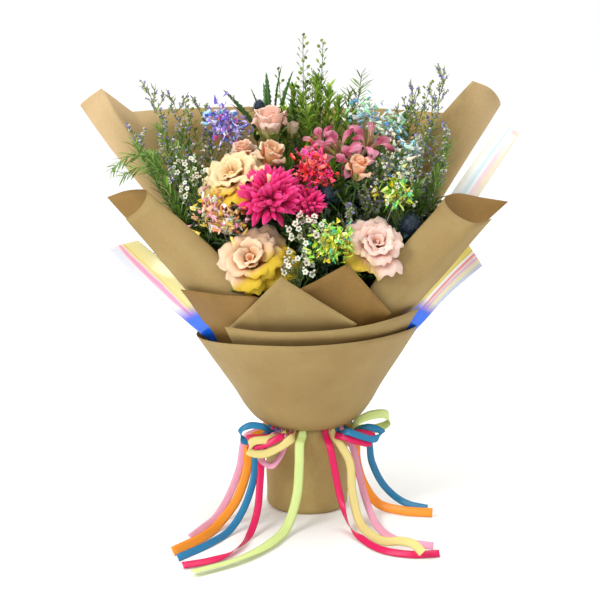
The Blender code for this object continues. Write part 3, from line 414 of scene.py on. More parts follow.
@dataclass
class Bunch:
    """Copies of forms gathered into one piece, each copy with its own tone."""

    name: str
    finishes: Sequence[bpy.types.Material]
    rng: random.Random
    walls: Sequence[BVHTree] = ()
    bodies: Sequence[BVHTree] = ()
    inside: bool = False
    parts: list = field(default_factory=list)

    def add(self, form: Form, matrix: Matrix, slot: int = 0, tone: float | None = None) -> None:
        """Keeps a copy of a form.

        Args:
            form: The form.
            matrix: Where the copy goes.
            slot: Which of the finishes it wears.
            tone: Its tone from 0 to 1; drawn at random if left out.
        """
        shade = self.rng.random() if tone is None else tone
        self.parts.append((form, form.moved(matrix), slot, shade))

    def fit(self, form: Form, matrix: Matrix, slot: int = 0) -> bool:
        """Keeps a copy only where it cuts no wall or body.

        Args:
            form: The form.
            matrix: Where the copy goes.
            slot: Which of the finishes it wears.

        Returns:
            Whether it was kept.
        """
        places = form.moved(matrix)
        middle = Vector(places.mean(axis=0))
        if self.inside and any(outside(wall, middle) for wall in self.walls):
            return False
        tree = BVHTree.FromPolygons([Vector(place) for place in places], form.polygons())
        if any(tree.overlap(wall) for wall in (*self.walls, *self.bodies)):
            return False
        self.parts.append((form, places, slot, self.rng.random()))
        return True

    def stalks(self, stalks: Stalks, slot: int, sides: int = 1) -> None:
        """Adds gathered stems, all of one middle tone."""
        if stalks.runs:
            self.add(stalks.form(sides), Matrix.Identity(4), slot, 0.5)

    def made(self) -> bpy.types.Object:
        """One mesh piece with a UV map and a tone attribute.

        Returns:
            The piece.
        """
        counts = [len(places) for _, places, _, _ in self.parts]
        firsts = np.cumsum([0] + counts[:-1])
        loop_counts = [len(form.loops) for form, *_ in self.parts]
        loop_firsts = np.cumsum([0] + loop_counts[:-1])
        mesh = bpy.data.meshes.new(self.name)
        mesh.vertices.add(sum(counts))
        mesh.vertices.foreach_set("co", np.concatenate([p[1] for p in self.parts]).astype(np.float32).ravel())
        loops = np.concatenate([p[0].loops + first for p, first in zip(self.parts, firsts)])
        mesh.loops.add(len(loops))
        mesh.loops.foreach_set("vertex_index", loops.astype(np.int32))
        starts = np.concatenate([p[0].starts + first for p, first in zip(self.parts, loop_firsts)])
        mesh.polygons.add(len(starts))
        mesh.polygons.foreach_set("loop_start", starts.astype(np.int32))
        slots = np.concatenate([np.full(len(p[0].starts), p[2], np.int32) for p in self.parts])
        mesh.polygons.foreach_set("material_index", slots)
        mesh.update(calc_edges=True)
        uvs = mesh.uv_layers.new(name="UVMap")
        uvs.data.foreach_set("uv", np.concatenate([p[0].uvs for p in self.parts]).astype(np.float32).ravel())
        tones = np.concatenate([np.full(n, p[3], np.float32) for p, n in zip(self.parts, counts)])
        mesh.attributes.new("tone", "FLOAT", "POINT").data.foreach_set("value", tones)
        for finish in self.finishes:
            mesh.materials.append(finish)
        mesh.shade_smooth()
        piece = bpy.data.objects.new(self.name, mesh)
        bpy.context.scene.collection.objects.link(piece)
        return piece


def seat(piece: bpy.types.Object, slot: str, *nodes: str) -> bpy.types.Object:
    """Rides a finished piece on the bouquet and says what it stands for.

    Args:
        piece: The piece.
        slot: The record's material slot of its finish; not used.
        *nodes: The solids that it replaces.

    Returns:
        The piece.
    """
    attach(piece, BODY)
    if nodes:
        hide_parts(*nodes)
    log.info("%s: %d faces, stands for %s", piece.name, len(piece.data.polygons), nodes or "no solid")
    return piece


def tree_of(piece: bpy.types.Object) -> BVHTree:
    """A search tree of a finished piece."""
    faces = [face.vertices for face in piece.data.polygons]
    return BVHTree.FromPolygons([vert.co for vert in piece.data.vertices], faces)


# Finishes

def linear(code: str) -> Colour:
    """An sRGB hex colour as linear values."""
    shares = [int(code[i:i + 2], 16) / 255 for i in (1, 3, 5)]
    return (*[s / 12.92 if s <= 0.04045 else ((s + 0.055) / 1.055) ** 2.4 for s in shares], 1.0)


def add(tree: bpy.types.NodeTree, kind: str, values: dict | None = None) -> bpy.types.Node:
    """Adds a shader node.

    Args:
        tree: The node tree.
        kind: The node's type, without its ShaderNode prefix.
        values: Its properties by name and its inputs by name or number; an output socket is linked.

    Returns:
        The node.
    """
    made = tree.nodes.new("ShaderNode" + kind)
    for name, value in (values or {}).items():
        if isinstance(value, Socket):
            tree.links.new(value, made.inputs[name])
        elif isinstance(name, str) and hasattr(made, name):
            setattr(made, name, value)
        else:
            made.inputs[name].default_value = value
    return made


class Graph:
    """A new material with its Principled shader, and the nodes that the finishes are made of.

    Its methods take numbers or other nodes' output sockets and give the socket with their result.
    """

    def __init__(self, name: str, roughness: float, **sockets: float | Colour) -> None:
        """Starts the material.

        Args:
            name: Its name.
            roughness: Its roughness.
            **sockets: Other values for the shader, with underscores for the spaces in their names.
        """
        self.material = bpy.data.materials.new(name)
        self.material.use_nodes = True
        self.tree = self.material.node_tree
        self.shader = self.tree.nodes["Principled BSDF"]
        for key, value in {"Roughness": roughness, **sockets}.items():
            self.shader.inputs[key.replace("_", " ")].default_value = value

    def place(self) -> Socket:
        """The place on the object, in metres."""
        return add(self.tree, "TexCoord").outputs["Object"]

    def spot(self) -> Socket:
        """The place in the UV map."""
        return add(self.tree, "UVMap").outputs["UV"]

    def tone(self) -> Socket:
        """The tone of each copy, from 0 to 1."""
        return add(self.tree, "Attribute", {"attribute_name": "tone"}).outputs["Fac"]

    def axis(self, vector: Socket, name: str) -> Socket:
        """The X, Y or Z of a vector."""
        return add(self.tree, "SeparateXYZ", {"Vector": vector}).outputs[name]

    def math(self, operation: str, *values: Value) -> Socket:
        """The result of a Math node."""
        return add(self.tree, "Math", {"operation": operation, **dict(enumerate(values))}).outputs["Value"]

    def off_middle(self, spot: Socket) -> Socket:
        """How far a place in the UV map lies from the line along its middle."""
        return self.math("ABSOLUTE", self.math("SUBTRACT", self.axis(spot, "X"), 0.5))

    def waves(self, value: Socket, count: float) -> Socket:
        """Threads or veins: the sine of a value times a count."""
        return self.math("SINE", self.math("MULTIPLY", value, count))

    def noise(self, vector: Socket, scale: float, detail: float = 2.0, roughness: float = 0.5,
              stretch: tuple[float, float, float] | None = None) -> Socket:
        """Soft noise.

        Args:
            vector: The coordinates.
            scale: How fine it is.
            detail: How many finer layers it has.
            roughness: How strong those are.
            stretch: Scales the coordinates by axis.

        Returns:
            The noise.
        """
        if stretch:
            vector = add(self.tree, "Mapping", {"Scale": stretch, "Vector": vector}).outputs["Vector"]
        return add(self.tree, "TexNoise", {"Vector": vector, "Scale": scale, "Detail": detail,
                                           "Roughness": roughness}).outputs["Fac"]

    def ranged(self, value: Socket, low: float = 0.0, high: float = 1.0, to_low: float = 0.0,
               to_high: float = 1.0, kind: str = "LINEAR") -> Socket:
        """A value mapped from one range to another.

        Args:
            value: The value.
            low: Where its range starts.
            high: Where it ends.
            to_low: What the start becomes.
            to_high: What the end becomes.
            kind: The interpolation between them.

        Returns:
            The mapped value.
        """
        return add(self.tree, "MapRange", {
            "interpolation_type": kind, "Value": value, "From Min": low, "From Max": high, "To Min": to_low,
            "To Max": to_high}).outputs["Result"]

    def ramp(self, value: Socket, *stops: tuple[float, str], kind: str = "LINEAR") -> Socket:
        """A colour ramp.

        Args:
            value: Where on the ramp.
            *stops: Its places and hex colours.
            kind: The interpolation between them.

        Returns:
            The colour.
        """
        made = add(self.tree, "ValToRGB", {"Fac": value})
        for _ in stops[2:]:
            made.color_ramp.elements.new(0.5)
        for element, (position, code) in zip(made.color_ramp.elements, stops):
            element.position = position
            element.color = linear(code)
        made.color_ramp.interpolation = kind
        return made.outputs["Color"]

    def mixed(self, share: Socket, first: Socket | Colour, second: Socket | Colour) -> Socket:
        """One colour blended into another."""
        return add(self.tree, "Mix", {"data_type": "RGBA", 0: share, 6: first, 7: second}).outputs[2]

    def coloured(self, colour: Socket, shade: Socket | None = None) -> None:
        """Gives the shader its colour.

        Args:
            colour: The colour.
            shade: What the colour is multiplied by, if it varies.
        """
        if shade is not None:
            made = add(self.tree, "VectorMath", {"operation": "SCALE", 0: colour, "Scale": shade})
            colour = made.outputs["Vector"]
        self.tree.links.new(colour, self.shader.inputs["Base Color"])

    def raised(self, height: Socket, depth: float, strength: float) -> bpy.types.Material:
        """Lets a pattern raise the surface, which completes the material.

        Args:
            height: The pattern.
            depth: How far its full range stands up, in metres.
            strength: How much of it is used.

        Returns:
            The material.
        """
        bump = add(self.tree, "Bump", {"Strength": strength, "Distance": depth, "Height": height})
        self.tree.links.new(bump.outputs["Normal"], self.shader.inputs["Normal"])
        return self.material


@dataclass(frozen=True)
class KraftPaper:
    """Unbleached kraft paper, calendered: matt, faintly mottled, with short fibres along its grain."""

    name: str
    face: str
    shade: str
    # margin: a lighter colour towards the sides of the sheet, painted light on its rolled margins.
    margin: str = ""
    margin_from: float = 0.19
    margin_full: float = 0.27

    def material(self) -> bpy.types.Material:
        """Makes the paper's material.

        Returns:
            The material.
        """
        graph = Graph(self.name, 0.62, Specular_IOR_Level=0.3)
        place = graph.place()
        colour = graph.ramp(graph.noise(place, 14.0, 4.0, 0.55), (0.30, self.shade), (0.62, self.face))
        if self.margin:
            # Painted light: the rolled margins are drawn lighter, towards the margin colour, for the light
            # that they catch.
            side = graph.math("ABSOLUTE", graph.axis(place, "X"))
            share = graph.ranged(side, self.margin_from, self.margin_full)
            colour = graph.mixed(share, colour, linear(self.margin))
        # Real fibres are 20 micrometres wide; these are drawn 1 mm long so that they show.
        fibre = graph.noise(place, 900.0, 3.0, 0.7, stretch=(1.0, 1.0, 0.18))
        graph.coloured(colour, graph.ranged(fibre, 0.35, 0.70, 0.90, 1.06))
        return graph.raised(graph.math("MULTIPLY_ADD", fibre, 0.12, graph.noise(place, 38.0)), 0.0012, 0.35)


@dataclass(frozen=True)
class ClearFilm:
    """Iridescent cellophane: clear, glossy, with bands of colour along the strip.

    Its lower part, up to low_to of its length, is deeper and less clear, and ends in violet.
    """

    name: str
    bands: tuple[tuple[float, str], ...]
    alpha: float
    low: str
    low_to: float = 0.62
    violet: str = "#7a58d2"

    def material(self) -> bpy.types.Material:
        """Makes the film's material.

        Returns:
            The material.
        """
        graph = Graph(self.name, 0.22, Coat_Weight=0.15)
        spot = graph.spot()
        along = graph.axis(spot, "Y")
        across = graph.math("MULTIPLY_ADD", graph.noise(spot, 5.0), 0.16, graph.axis(spot, "X"))
        deep = graph.ranged(along, self.low_to - 0.06, self.low_to, 1.0, 0.0)
        end = graph.ranged(along, self.low_to - 0.075, self.low_to - 0.03)
        glow = graph.mixed(end, linear(self.low), linear(self.violet))
        graph.coloured(graph.mixed(deep, graph.ramp(across, *self.bands), glow))
        clear = graph.ranged(deep, to_low=self.alpha, to_high=0.93)
        graph.tree.links.new(clear, graph.shader.inputs["Alpha"])
        return graph.raised(graph.noise(graph.place(), 60.0, 3.0), 0.0006, 0.3)


@dataclass(frozen=True)
class SatinRibbon:
    """Woven polyester satin: a soft sheen along the ribbon, fine cross threads, and a painted sheen that
    draws the middle lighter than the edges.
    """

    name: str
    face: str
    edge: str
    alpha: float = 1.0

    def material(self) -> bpy.types.Material:
        """Makes the ribbon's material.

        Returns:
            The material.
        """
        graph = Graph(self.name, 0.42, Sheen_Weight=0.12, Sheen_Roughness=0.4, Anisotropic=0.5,
                      Alpha=self.alpha)
        spot = graph.spot()
        # Painted sheen: the ribbon is drawn in its lighter face colour along the middle and darker towards
        # its edges.
        colour = graph.ramp(graph.off_middle(spot), (0.38, self.face), (0.48, self.edge))
        graph.coloured(colour, graph.ranged(graph.noise(spot, 14.0, 1.0), 0.3, 0.7, 0.95, 1.06))
        # Threads lie 0.15 mm apart; they are drawn 0.5 mm apart so that they show.
        return graph.raised(graph.waves(graph.axis(spot, "Y"), 1800.0), 0.00005, 0.2)


@dataclass(frozen=True)
class PetalFlesh:
    """Living petal: velvety, paler or deeper from root to rim, with fine veins along it.

    A second colour may take over towards one side of the bloom, past a place.
    """

    name: str
    root: str
    middle: str
    rim: str
    other: str = ""
    other_from: tuple[float, float, float] = (0.0, 0.0, 0.0)
    other_towards: tuple[float, float, float] = (1.0, 0.0, 0.0)
    streaks: str = ""
    shade: float = 0.88

    def material(self) -> bpy.types.Material:
        """Makes the petal's material.

        Returns:
            The material.
        """
        graph = Graph(self.name, 0.55, Sheen_Weight=0.15, Subsurface_Weight=0.30, Subsurface_Scale=0.003,
                      Specular_IOR_Level=0.3)
        spot = graph.spot()
        tone = graph.tone()
        along = graph.math("ADD", graph.axis(spot, "Y"), graph.ranged(tone, to_low=-0.09, to_high=0.09))
        # The roses' warm orange root colours are partly the petals' own and partly painted light, for light
        # passing through the petals deep in the bloom.
        colour = graph.ramp(along, (0.10, self.root), (0.55, self.middle), (0.97, self.rim))
        if self.other:
            place = graph.place()
            past = add(graph.tree, "VectorMath", {"operation": "SUBTRACT", 0: place, 1: self.other_from})
            reach = add(graph.tree, "VectorMath", {"operation": "DOT_PRODUCT", 0: past.outputs["Vector"],
                                                   1: self.other_towards})
            wander = graph.math("MULTIPLY_ADD", graph.noise(place, 45.0), 0.014, -0.007)
            edge = graph.math("ADD", reach.outputs["Value"], wander)
            share = graph.ranged(edge, -0.006, 0.014, kind="SMOOTHSTEP")
            colour = graph.mixed(share, colour, linear(self.other))
        if self.streaks:
            dash = graph.noise(spot, 1.0, 1.0, stretch=(26.0, 5.0, 1.0))
            colour = graph.mixed(graph.ranged(dash, 0.60, 0.66), colour, linear(self.streaks))
        graph.coloured(colour, graph.ranged(tone, to_low=self.shade, to_high=1.05))
        return graph.raised(graph.noise(spot, 1.0, 3.0, stretch=(34.0, 2.5, 1.0)), 0.0005, 0.35)


@dataclass(frozen=True)
class LeafFlesh:
    """Waxy leaf: a deep and a fresh green by leaf, a paler rib and side veins."""

    name: str
    deep: str
    fresh: str
    rib: str

    def material(self) -> bpy.types.Material:
        """Makes the leaf's material.

        Returns:
            The material.
        """
        graph = Graph(self.name, 0.45, Coat_Weight=0.08)
        spot = graph.spot()
        blend = graph.math("MULTIPLY_ADD", graph.noise(graph.place(), 55.0), 0.35, graph.tone())
        green = graph.ramp(blend, (0.15, self.deep), (1.0, self.fresh))
        side = graph.off_middle(spot)
        graph.coloured(graph.mixed(graph.ranged(side, 0.02, 0.07, 0.55, 0.0), green, linear(self.rib)))
        slant = graph.math("MULTIPLY_ADD", side, -0.6, graph.axis(spot, "Y"))
        return graph.raised(graph.waves(slant, 70.0), 0.00012, 0.5)


@dataclass(frozen=True)
class Tinsel:
    """Iridescent tinsel: metallised film whose colour changes from sliver to sliver."""

    name: str
    colours: tuple[str, ...]

    def material(self) -> bpy.types.Material:
        """Makes the tinsel's material.

        Returns:
            The material.
        """
        graph = Graph(self.name, 0.12, Metallic=0.10, Coat_Weight=1.0)
        # Near-white colours among these are painted glints: slivers drawn white for the sparkle of the light.
        stops = [(index / len(self.colours), code) for index, code in enumerate(self.colours)]
        graph.coloured(graph.ramp(graph.tone(), *stops, kind="CONSTANT"))
        return graph.material


@dataclass(frozen=True)
class Mottled:
    """A plain growing surface, such as a stem, pod or spine: two near colours in soft patches."""

    name: str
    first: str
    second: str
    roughness: float = 0.55
    grain: float = 220.0

    def material(self) -> bpy.types.Material:
        """Makes the surface's material.

        Returns:
            The material.
        """
        graph = Graph(self.name, self.roughness)
        cloud = graph.noise(graph.place(), self.grain)
        colour = graph.ramp(cloud, (0.35, self.first), (0.65, self.second))
        graph.coloured(colour, graph.ranged(graph.tone(), to_low=0.75, to_high=1.15))
        return graph.raised(cloud, 0.0004, 0.3)


# Wrap

# Where the paper starts to buckle and over what height, and the fineness and depth of its two waves.
BUCKLE_FROM = 0.17
BUCKLE_OVER = 0.10
BUCKLE_WAVES = ((10.0, 0.0034), (26.0, 0.0012))


class Pull(Enum):
    """How much a sheet of the wrap has buckled."""

    TAUT = 0.25
    SOFT = 1.0


def buckled(place: Vector, pull: Pull) -> Vector:
    """A place of the paper moved a little in or out, alike for all sheets that lie there.

    Args:
        place: The place on the even sheet.
        pull: How much the sheet has buckled.

    Returns:
        The moved place.
    """
    rise = min(max((place.z - BUCKLE_FROM) / BUCKLE_OVER, 0.0), 1.0)
    out = Vector((place.x, place.y, 0.0)).normalized()
    wave = sum(noise.noise(place * scale) * depth for scale, depth in BUCKLE_WAVES)
    return place + out * (wave * rise * pull.value)


@dataclass(frozen=True)
class Sheet:
    """One sheet of the wrap, lofted through rows of places from the neck up to its rim."""

    name: str
    rows: Sequence[Sequence[Vector]]
    columns: int
    steps: int
    nodes: tuple[str, ...]
    pull: Pull = Pull.SOFT
    thickness: float = PAPER
    pointed: bool = False
    # A turned sheet swaps its two papers, so that the darker one, which is painted shade, takes the plain
    # paper's side.
    turned: bool = False
    corners: tuple[int, ...] = ()

    def place(self, u: float, v: float) -> Vector:
        """A place on the sheet; a pointed sheet has straight edges to its corners.

        Args:
            u: How far across, from 0 to 1.
            v: How far up, from 0 to 1.

        Returns:
            The place.
        """
        row = [smooth(row, u) for row in self.rows[:-1]]
        row.append(straight(self.rows[-1], u) if self.pointed else smooth(self.rows[-1], u, self.corners))
        return buckled(smooth(row, v), self.pull)

    def build(self, slot: str, face: bpy.types.Material, inside: bpy.types.Material | None = None
              ) -> bpy.types.Object:
        """Makes the sheet and dresses it.

        Args:
            slot: The record's slot of its material.
            face: The material of its outer side.
            inside: That of its other side, if it differs.

        Returns:
            The piece.
        """
        piece = bent_grid(self.name, self.place, self.columns, self.steps, self.thickness,
                          reverse=1 if inside else 0)
        sides = [inside, face] if self.turned else [face, inside]
        if inside:
            piece.data.materials[0], piece.data.materials[1] = sides
        else:
            piece.data.materials.append(face)
        return seat(piece, slot, *self.nodes)


@dataclass
class Wrap:
    """The paper and film round the flowers, from the inside out."""

    back_rim: tuple = places(
        (-262, 84, 540), (-288, 80, 550), (-310, 66, 559), (-317, 48, 564), (-304, 30, 576), (-283, 20, 590),
        (-263, 36, 573), (-243, 54, 555), (-205, 80, 556), (-165, 98, 556), (-115, 119, 556), (-60, 132, 555),
        (0, 137, 554), (55, 134, 553), (105, 118, 554), (152, 92, 553), (190, 60, 553), (207, 43, 576),
        (225, 26, 600), (249, 28, 590), (262, 38, 577), (268, 56, 563), (258, 72, 554), (238, 82, 549),
        (212, 84, 545))
    back_corners: tuple = (5, 7, 16, 18)
    lapel_left_top: tuple = places(
        (-273, -20, 445), (-246, -26, 455), (-225, -36, 458), (-216, -52, 458), (-218, -72, 447),
        (-226, -82, 436), (-241, -76, 424))
    lapel_left_middle: tuple = places(
        (-174, -20, 335), (-150, -55, 337), (-112, -95, 334), (-69, -130, 329), (-100, -130, 329),
        (-135, -113, 331), (-168, -88, 335))
    lapel_right_top: tuple = places(
        (275, -20, 439), (239, -20, 445), (205, -30, 452), (187, -52, 449), (197, -88, 432), (218, -102, 423),
        (245, -80, 425))
    lapel_right_middle: tuple = places(
        (168, -25, 332), (148, -55, 335), (116, -96, 340), (84, -126, 341), (107, -125, 337),
        (138, -115, 331), (163, -88, 328))
    inner_left_rim: tuple = places(
        (-170, -98, 332), (-142, -124, 334), (-106, -141, 333), (-69, -149, 333), (-40, -137, 325))
    peak_left_rim: tuple = places(
        (-104, -112, 284), (-72, -149, 322), (-35, -167, 363), (12, -163, 332), (64, -150, 297))
    peak_right_rim: tuple = places(
        (-40, -147, 328), (6, -152, 352), (52, -150, 377), (82, -150, 342), (110, -128, 307))
    collar_inner_rim: tuple = places(
        (-110, -124, 287), (-60, -151, 287), (3, -161, 289), (75, -151, 295), (122, -126, 302),
        (151, -91, 306))
    film_left: tuple = (
        ((-160, -56, 274), (-146, -70, 284), (-130, -86, 294)),
        ((-208, -46, 314), (-188, -56, 322), (-164, -66, 330)),
        ((-247, -36, 347), (-224, -38, 354), (-198, -40, 360)),
        ((-271, -32, 376), (-253, -26, 381), (-233, -20, 385)))
    film_right_low: tuple = (
        ((126, -86, 290), (141, -74, 284), (156, -60, 276)),
        ((168, -68, 334), (180, -58, 325), (192, -47, 313)),
        ((221, -20, 381), (231, -28, 367), (240, -38, 353)))
    film_right_high: tuple = (
        ((202, 6, 450), (219, 0, 448), (236, -6, 444)), ((268, 10, 542), (280, 4, 537), (290, -4, 530)))
    collar_edge: tuple[float, float] = (0.0615, 0.1245)
    # Azimuth in degrees, then radius and height in millimetres, from the back round the front to the back.
    collar_rim: tuple = (
        (-180, 108, 250), (-150, 114, 250), (-120, 134, 250), (-97, 150, 251), (-75, 157, 254),
        (-50, 162, 261), (-25, 166, 268), (0, 167, 271), (25, 167, 274), (50, 165, 276), (75, 160, 272),
        (97, 152, 265), (120, 134, 257), (150, 114, 252), (180, 108, 250))
    # How far up and how far out each row of the collar lies, as shares of the way to its rim.
    collar_shares: tuple = ((0.0, 0.0), (0.06, 0.13), (0.174, 0.265), (0.39, 0.445), (0.668, 0.70),
                            (1.0, 1.0))
    # The collar winds outward a little and reaches past the back, so that its last edge lies over its first.
    collar_winding: float = 0.0009
    collar_sweep: float = 187.0
    collar_inner_neck: tuple = ((0.0409, 0.114), (0.0422, 0.128), (0.0458, 0.1395), (0.0490, 0.1475),
                                (0.0700, 0.162), (0.1240, 0.225))
    neck_flare: tuple = ((NECK_Z, 0.0), (0.142, 0.0014), (0.168, 0.0210))
    lapel_neck: tuple = ((0.0330, 118), (0.0330, 97), (0.0330, 75), (0.0331, 45), (0.0344, 16),
                         (0.0356, 30), (0.0358, 46), (0.0358, 63), (0.0358, 80))
    overlap_z: float = 0.243
    film: float = 0.0003
    inner_left_middle: tuple = ((0.1270, -66), (0.1225, -54), (0.1195, -41), (0.1160, -28), (0.1090, -14))
    peak_left_middle: tuple = ((0.1250, -39), (0.1205, -25), (0.1165, -12), (0.1155, 5), (0.1180, 22))
    peak_right_middle: tuple = ((0.1115, -15), (0.1110, 2), (0.1145, 19), (0.1185, 31), (0.1210, 43))

    def necked(self, radius: float, start: float, end: float, count: int, spread: float = 1.0) -> list:
        """Rows of a sheet that rises inside the neck before it flares.

        Args:
            radius: Its radius in the neck.
            start: Azimuth of its first edge.
            end: Azimuth of its last edge.
            count: Places in a row.
            spread: How far it flares, against the others.

        Returns:
            The rows.
        """
        return [arc(radius + out * spread, start, end, z, count) for z, out in self.neck_flare]

    def lapel(self, name: str, side: int, top: Sequence[Vector], middle: Sequence[Vector]) -> Sheet:
        """A front margin folded out: its back panel, its turn and its front panel.

        Args:
            name: The name of its piece and its node.
            side: -1 for the left one, 1 for the right one.
            top: Its rim.
            middle: The places halfway up.

        Returns:
            The sheet.
        """
        rows = [[around(radius + out, side * azimuth, z) for radius, azimuth in self.lapel_neck]
                for z, out in self.neck_flare]
        return Sheet(name, [row[::-side] for row in (*rows, middle, top)], 64, 44, (name,), turned=True)

    def collar(self) -> Sheet:
        """The outer collar: a cone of paper whose two edges overlap at the back.

        Returns:
            The sheet.
        """
        edge_radius, edge_z = self.collar_edge
        rows = []
        for up, out in self.collar_shares:
            row = []
            for azimuth, rim_radius, rim_z in self.collar_rim:
                radius = edge_radius + (rim_radius / 1000 - edge_radius) * out
                radius += self.collar_winding * azimuth / 180
                z = edge_z + (rim_z / 1000 - edge_z) * up
                row.append(around(radius, azimuth * self.collar_sweep / 180, z))
            rows.append(row)
        return Sheet("collar_outer_paper", rows, 132, 26, ("collar_outer",), Pull.TAUT)

    def sheets(self) -> list[Sheet]:
        """Lays out the paper.

        Returns:
            Every paper sheet, from the back one to the outer collar.
        """
        inner, left, right = (
            [around(radius, azimuth, self.overlap_z) for radius, azimuth in middle]
            for middle in (self.inner_left_middle, self.peak_left_middle, self.peak_right_middle))
        inner = [*self.necked(0.0380, -74, -14, 5, 1.1), inner, self.inner_left_rim]
        left = [*self.necked(0.0396, -39, 22, 5, 1.2), left, self.peak_left_rim]
        right = [*self.necked(0.0389, -15, 43, 5, 1.15), right, self.peak_right_rim]
        back = [*self.necked(0.0338, -115, -245, len(self.back_rim)), self.back_rim]
        collar = [arc(radius, -42, 60, z, len(self.collar_inner_rim)) for radius, z in self.collar_inner_neck]
        collar.append(self.collar_inner_rim)
        peaked = ("peaked_sheet",)
        return [
            Sheet("back_paper", back, 144, 40, ("back_sheet",), corners=self.back_corners),
            self.lapel("lapel_left", -1, self.lapel_left_top, self.lapel_left_middle),
            self.lapel("lapel_right", 1, self.lapel_right_top, self.lapel_right_middle),
            Sheet("inner_left_paper", inner, 32, 30, ("inner_left_sheet",), turned=True),
            Sheet("peaked_left_paper", left, 48, 36, peaked, Pull.TAUT, pointed=True),
            Sheet("peaked_right_paper", right, 48, 36, peaked, Pull.TAUT, pointed=True, turned=True),
            Sheet("collar_inner_paper", collar, 56, 30, ("collar_inner",), Pull.TAUT),
            self.collar(),
        ]

    def films(self) -> list[tuple[Sheet, ClearFilm]]:
        """Lays out the film.

        Returns:
            Each strip with its finish.
        """
        left = ClearFilm("iridescent_cellophane_left", (
            (0.04, "#ccd2ec"), (0.09, "#e6e8f6"), (0.32, "#e8e6f4"), (0.36, "#f6e2c8"), (0.40, "#f29cc8"),
            (0.49, "#f08cc2"), (0.52, "#f8dcc0"), (0.60, "#f1d47c"), (0.62, "#d2ac3c"), (0.64, "#efe080"),
            (0.98, "#ece292")), 0.66, "#0f6cf4", 0.585)
        right = ClearFilm("iridescent_cellophane_right", (
            (0.05, "#ecd444"), (0.34, "#f3de66"), (0.38, "#c9a83c"), (0.40, "#faf4d4"), (0.50, "#fdfdf8"),
            (0.53, "#f2808e"), (0.61, "#f6a4a4"), (0.64, "#fbe9d8"), (0.74, "#dca8d8"), (0.78, "#f6dcc8"),
            (0.86, "#f4ecb4"), (0.98, "#cfd6ee")), 0.80, "#0f6cf4", 0.73)
        high = ClearFilm("iridescent_cellophane_high", (
            (0.03, "#efe9a8"), (0.14, "#f8f6dc"), (0.34, "#ffffff"), (0.52, "#bfe6f2"), (0.60, "#ffffff"),
            (0.76, "#f5c9d6"), (0.95, "#efddb0")), 0.45, "#f0e48a")
        found = []
        for name, rows, sweep, radius, finish in (
            ("film_left", self.film_left, (-95, -84), 0.0342, left),
            ("film_right_low", self.film_right_low, (84, 95), 0.0342, right),
            ("film_right_high", self.film_right_high, (107, 98), 0.0337, high),
        ):
            lofted = [*self.necked(radius, *sweep, 3, 1.25), *[places(*row) for row in rows]]
            found.append((Sheet(name + "_strip", lofted, 16, 60, (name,), Pull.TAUT, self.film), finish))
        return found

    def build(self) -> list[BVHTree]:
        """Makes the wrap.

        Returns:
            Its sheets as search trees, so that leaves and petals can keep clear of them.
        """
        paper = KraftPaper("kraft_paper", "#a78e5b", "#9c814f").material()
        # Painted shade: the darker paper stands for the shade in the lapels' mouths and on the sheets that
        # lie in shadow.
        inside = KraftPaper("kraft_paper_reverse", "#96743d", "#886632").material()
        # The back paper's margin colour is painted light on its rolled margins.
        back = KraftPaper("kraft_paper_back", "#b0935e", "#a58853", margin="#cbae80").material()
        walls = []
        graph = bpy.context.evaluated_depsgraph_get()
        for sheet in self.sheets():
            faces = (back, None) if sheet.name == "back_paper" else (paper, inside)
            piece = sheet.build("kraft", *faces)
            walls.append(BVHTree.FromObject(piece, graph))
        for sheet, finish in self.films():
            sheet.build("film", finish.material())
        return walls


@dataclass
class Foot:
    """The paper foot, gathered round the stems, with the wet packing and the tie inside."""

    # Radius and height, from the middle of its underside out, up its side and in at the neck.
    profile: tuple = ((0.0, 0.0), (0.03, 0.0), (0.0535, 0.0), (0.0578, 0.005), (0.0583, 0.03), (0.0583, 0.07),
                      (0.0583, 0.105), (0.0566, 0.119), (0.0532, 0.1275), (0.0480, 0.1283), (0.0436, 0.1283))
    pleats: int = 9
    pleat_depth: float = 0.0018
    dent_depth: float = 0.0016
    side_from: float = 0.004
    gather_from: float = 0.055
    gather_over: float = 0.07
    side_to: float = 0.1275

    def place(self, u: float, v: float) -> Vector:
        """A place on the foot.

        Args:
            u: How far round it, from 0 to 1.
            v: How far along its profile, from 0 to 1.

        Returns:
            The place.
        """
        at = v * (len(self.profile) - 1)
        index = min(int(at), len(self.profile) - 2)
        local = at - index
        low, high = self.profile[index:index + 2]
        radius, z = (a * (1 - local) + b * local for a, b in zip(low, high))
        azimuth = 360 * u
        if self.side_from < z < self.side_to:
            angle = math.radians(azimuth)
            swing = 25 * math.sin(math.radians(azimuth * 2))
            fold = -abs(math.sin(math.radians(azimuth * self.pleats / 2 + swing)))
            gather = max(0.0, (z - self.gather_from) / self.gather_over)
            dent = noise.noise(Vector((math.cos(angle) * 1.7, math.sin(angle) * 1.7, z * 22)))
            radius += self.pleat_depth * fold * gather**0.7 + self.dent_depth * min(dent, 0.2)
        return around(radius, azimuth, z)

    def build(self, nodes: dict) -> None:
        """Makes the paper and dresses what it holds.

        Args:
            nodes: The frame's solids by name.
        """
        piece = bent_grid("foot_paper", self.place, 108, 60, PAPER, welded=True)
        piece.data.materials.append(KraftPaper("kraft_paper_foot", "#b39a60", "#a88d54").material())
        seat(piece, "kraft", "foot_sleeve")
        dress(nodes["wet_packing"], Mottled("wet_foam", "#2f4a34", "#3f6046", 0.8, 400.0).material())
        dress(nodes["stem_tie"], Mottled("jute_twine", "#8f7a50", "#b39b6c", 0.85, 900.0).material())


def dress(node: bpy.types.Object, finish: bpy.types.Material) -> None:
    """Gives a solid that stays in view its finish."""
    node.data.materials.clear()
    node.data.materials.append(finish)


# Ribbons

@dataclass(frozen=True)
class Run:
    """A tail or loop: the azimuth where it leaves its turn, its places in millimetres, a loop's return."""

    leaves: float
    route: tuple
    returns: float | None = None
    twist_at: int = 0
    twist: float = 0.0


